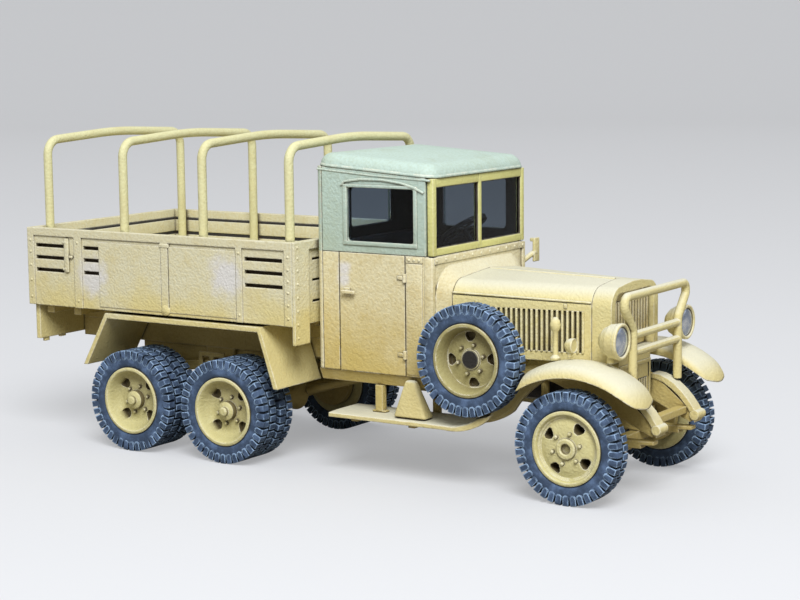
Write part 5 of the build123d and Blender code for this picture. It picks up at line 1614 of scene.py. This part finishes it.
# %% Lamp rims, lenses, apron and horn bosses
LAMP = (34.12, 7.4, 15.82)
RIM_PROFILE = [
    (1.44, -0.3), (1.44, 0.02), (1.52, 0.12), (1.66, 0.14), (1.77, 0.06), (1.79, -0.1), (1.76, -0.3),
    (1.44, -0.3),
]
DOME_PROFILE = [(0, -0.45), (1.44, -0.45), (1.44, -0.12), (1.2, 0.02), (0.8, 0.13), (0.4, 0.19), (0, 0.2)]
HORN_BOSS = (36.75, 3.5, 7.05)
HORN_BOSS_PROFILE = [(0, 0), (0.5, 0), (0.5, 1.8), (0, 1.8)]
HORN_CURVE = (
    (32.05, 10.95), (32.9, 10.85), (33.7, 10.55), (34.5, 10.05), (35.3, 9.4), (36.0, 8.65), (36.55, 7.9),
    (36.9, 7.35), (37.1, 6.8),
)
HORN_Y = (3.6, 5.2)
HORN_COVER = (0.35, 0.5)
CRANK_HOLE = ((31.88, 0, 11.7), (33, 0, 11.7))
CRANK_COLLAR = [(0.34, 0), (0.62, 0), (0.62, 0.14), (0.34, 0.14), (0.34, 0)]
CRANK_SHADE = [(0, 0), (0.36, 0), (0.36, 0.03), (0, 0.03)]
# y and z ranges of the apron's two edges and top, and of its louvre's bars
APRON_FRAME = (((-3.4, -3.0), (8.85, 12.6)), ((3.0, 3.4), (8.85, 12.6)), ((-3.0, 3.0), (12.2, 12.6)))
LOUVRE_BARS = [((0.85 + 0.38 * step, 1.05 + 0.38 * step), (9.1, 10.75)) for step in range(5)]
APRON_BACK = 31.86
APRON_FACE = 32.02
LOUVRE_FACE = 32.0
LOUVRE_SHADE = ((31.87, 0.75, 9.05), (31.93, 2.68, 10.8))


def make_lamps():
    """Rolled rims, with the bosses on the horns, and domed lenses."""
    rims = bmesh.new()
    lenses = bmesh.new()
    for side in SIDES:
        x, y, z = LAMP[0], side * LAMP[1], LAMP[2]
        add_turned(rims, RIM_PROFILE, (x, y, z), (x + 1, y, z), 40)
        add_turned(lenses, DOME_PROFILE, (x, y, z), (x + 1, y, z), 40)
        x, y, z = HORN_BOSS[0], side * HORN_BOSS[1], HORN_BOSS[2]
        add_turned(rims, HORN_BOSS_PROFILE, (x, y, z), (x, y + side, z), 20)
    close_piece(rims, "lamp_rims", SAND_TOP)
    close_piece(lenses, "lamp_lenses", LENS, slot="silver_lens", hides=["headlamp_lenses"])


def make_horn_covers():
    """Curved strips over the frame horns."""
    mesh = bmesh.new()
    inner, outer = HORN_Y
    back, down = HORN_COVER
    for side in SIDES:
        rings = []
        for x, z in HORN_CURVE:
            corners = ((x, inner, z), (x, outer, z), (x - back, outer, z - down), (x - back, inner, z - down))
            rings.append([(place_x, side * y, place_z) for place_x, y, place_z in corners])
        add_loft(mesh, rings)
    close_piece(mesh, "curved_horn_covers", SAND_TOP, hides=["horn_covers"])


def make_apron():
    """Collar of the crank hole, the apron's edges and louvre, and the shade in the openings."""
    plates = bmesh.new()
    add_turned(plates, CRANK_COLLAR, *CRANK_HOLE, 24)
    for boxes, face_x in ((LOUVRE_BARS, LOUVRE_FACE), (APRON_FRAME, APRON_FACE)):
        for (low_y, high_y), (low_z, high_z) in boxes:
            add_box(plates, (APRON_BACK, low_y, low_z), (face_x, high_y, high_z), 0.05)
    close_piece(plates, "apron_details", SAND_TOP)
    shades = bmesh.new()
    add_turned(shades, CRANK_SHADE, *CRANK_HOLE, 24)
    add_box(shades, *LOUVRE_SHADE)
    close_piece(shades, "apron_shadows", DARK, slot="dark_interior")


make_lamps()
make_horn_covers()
make_apron()
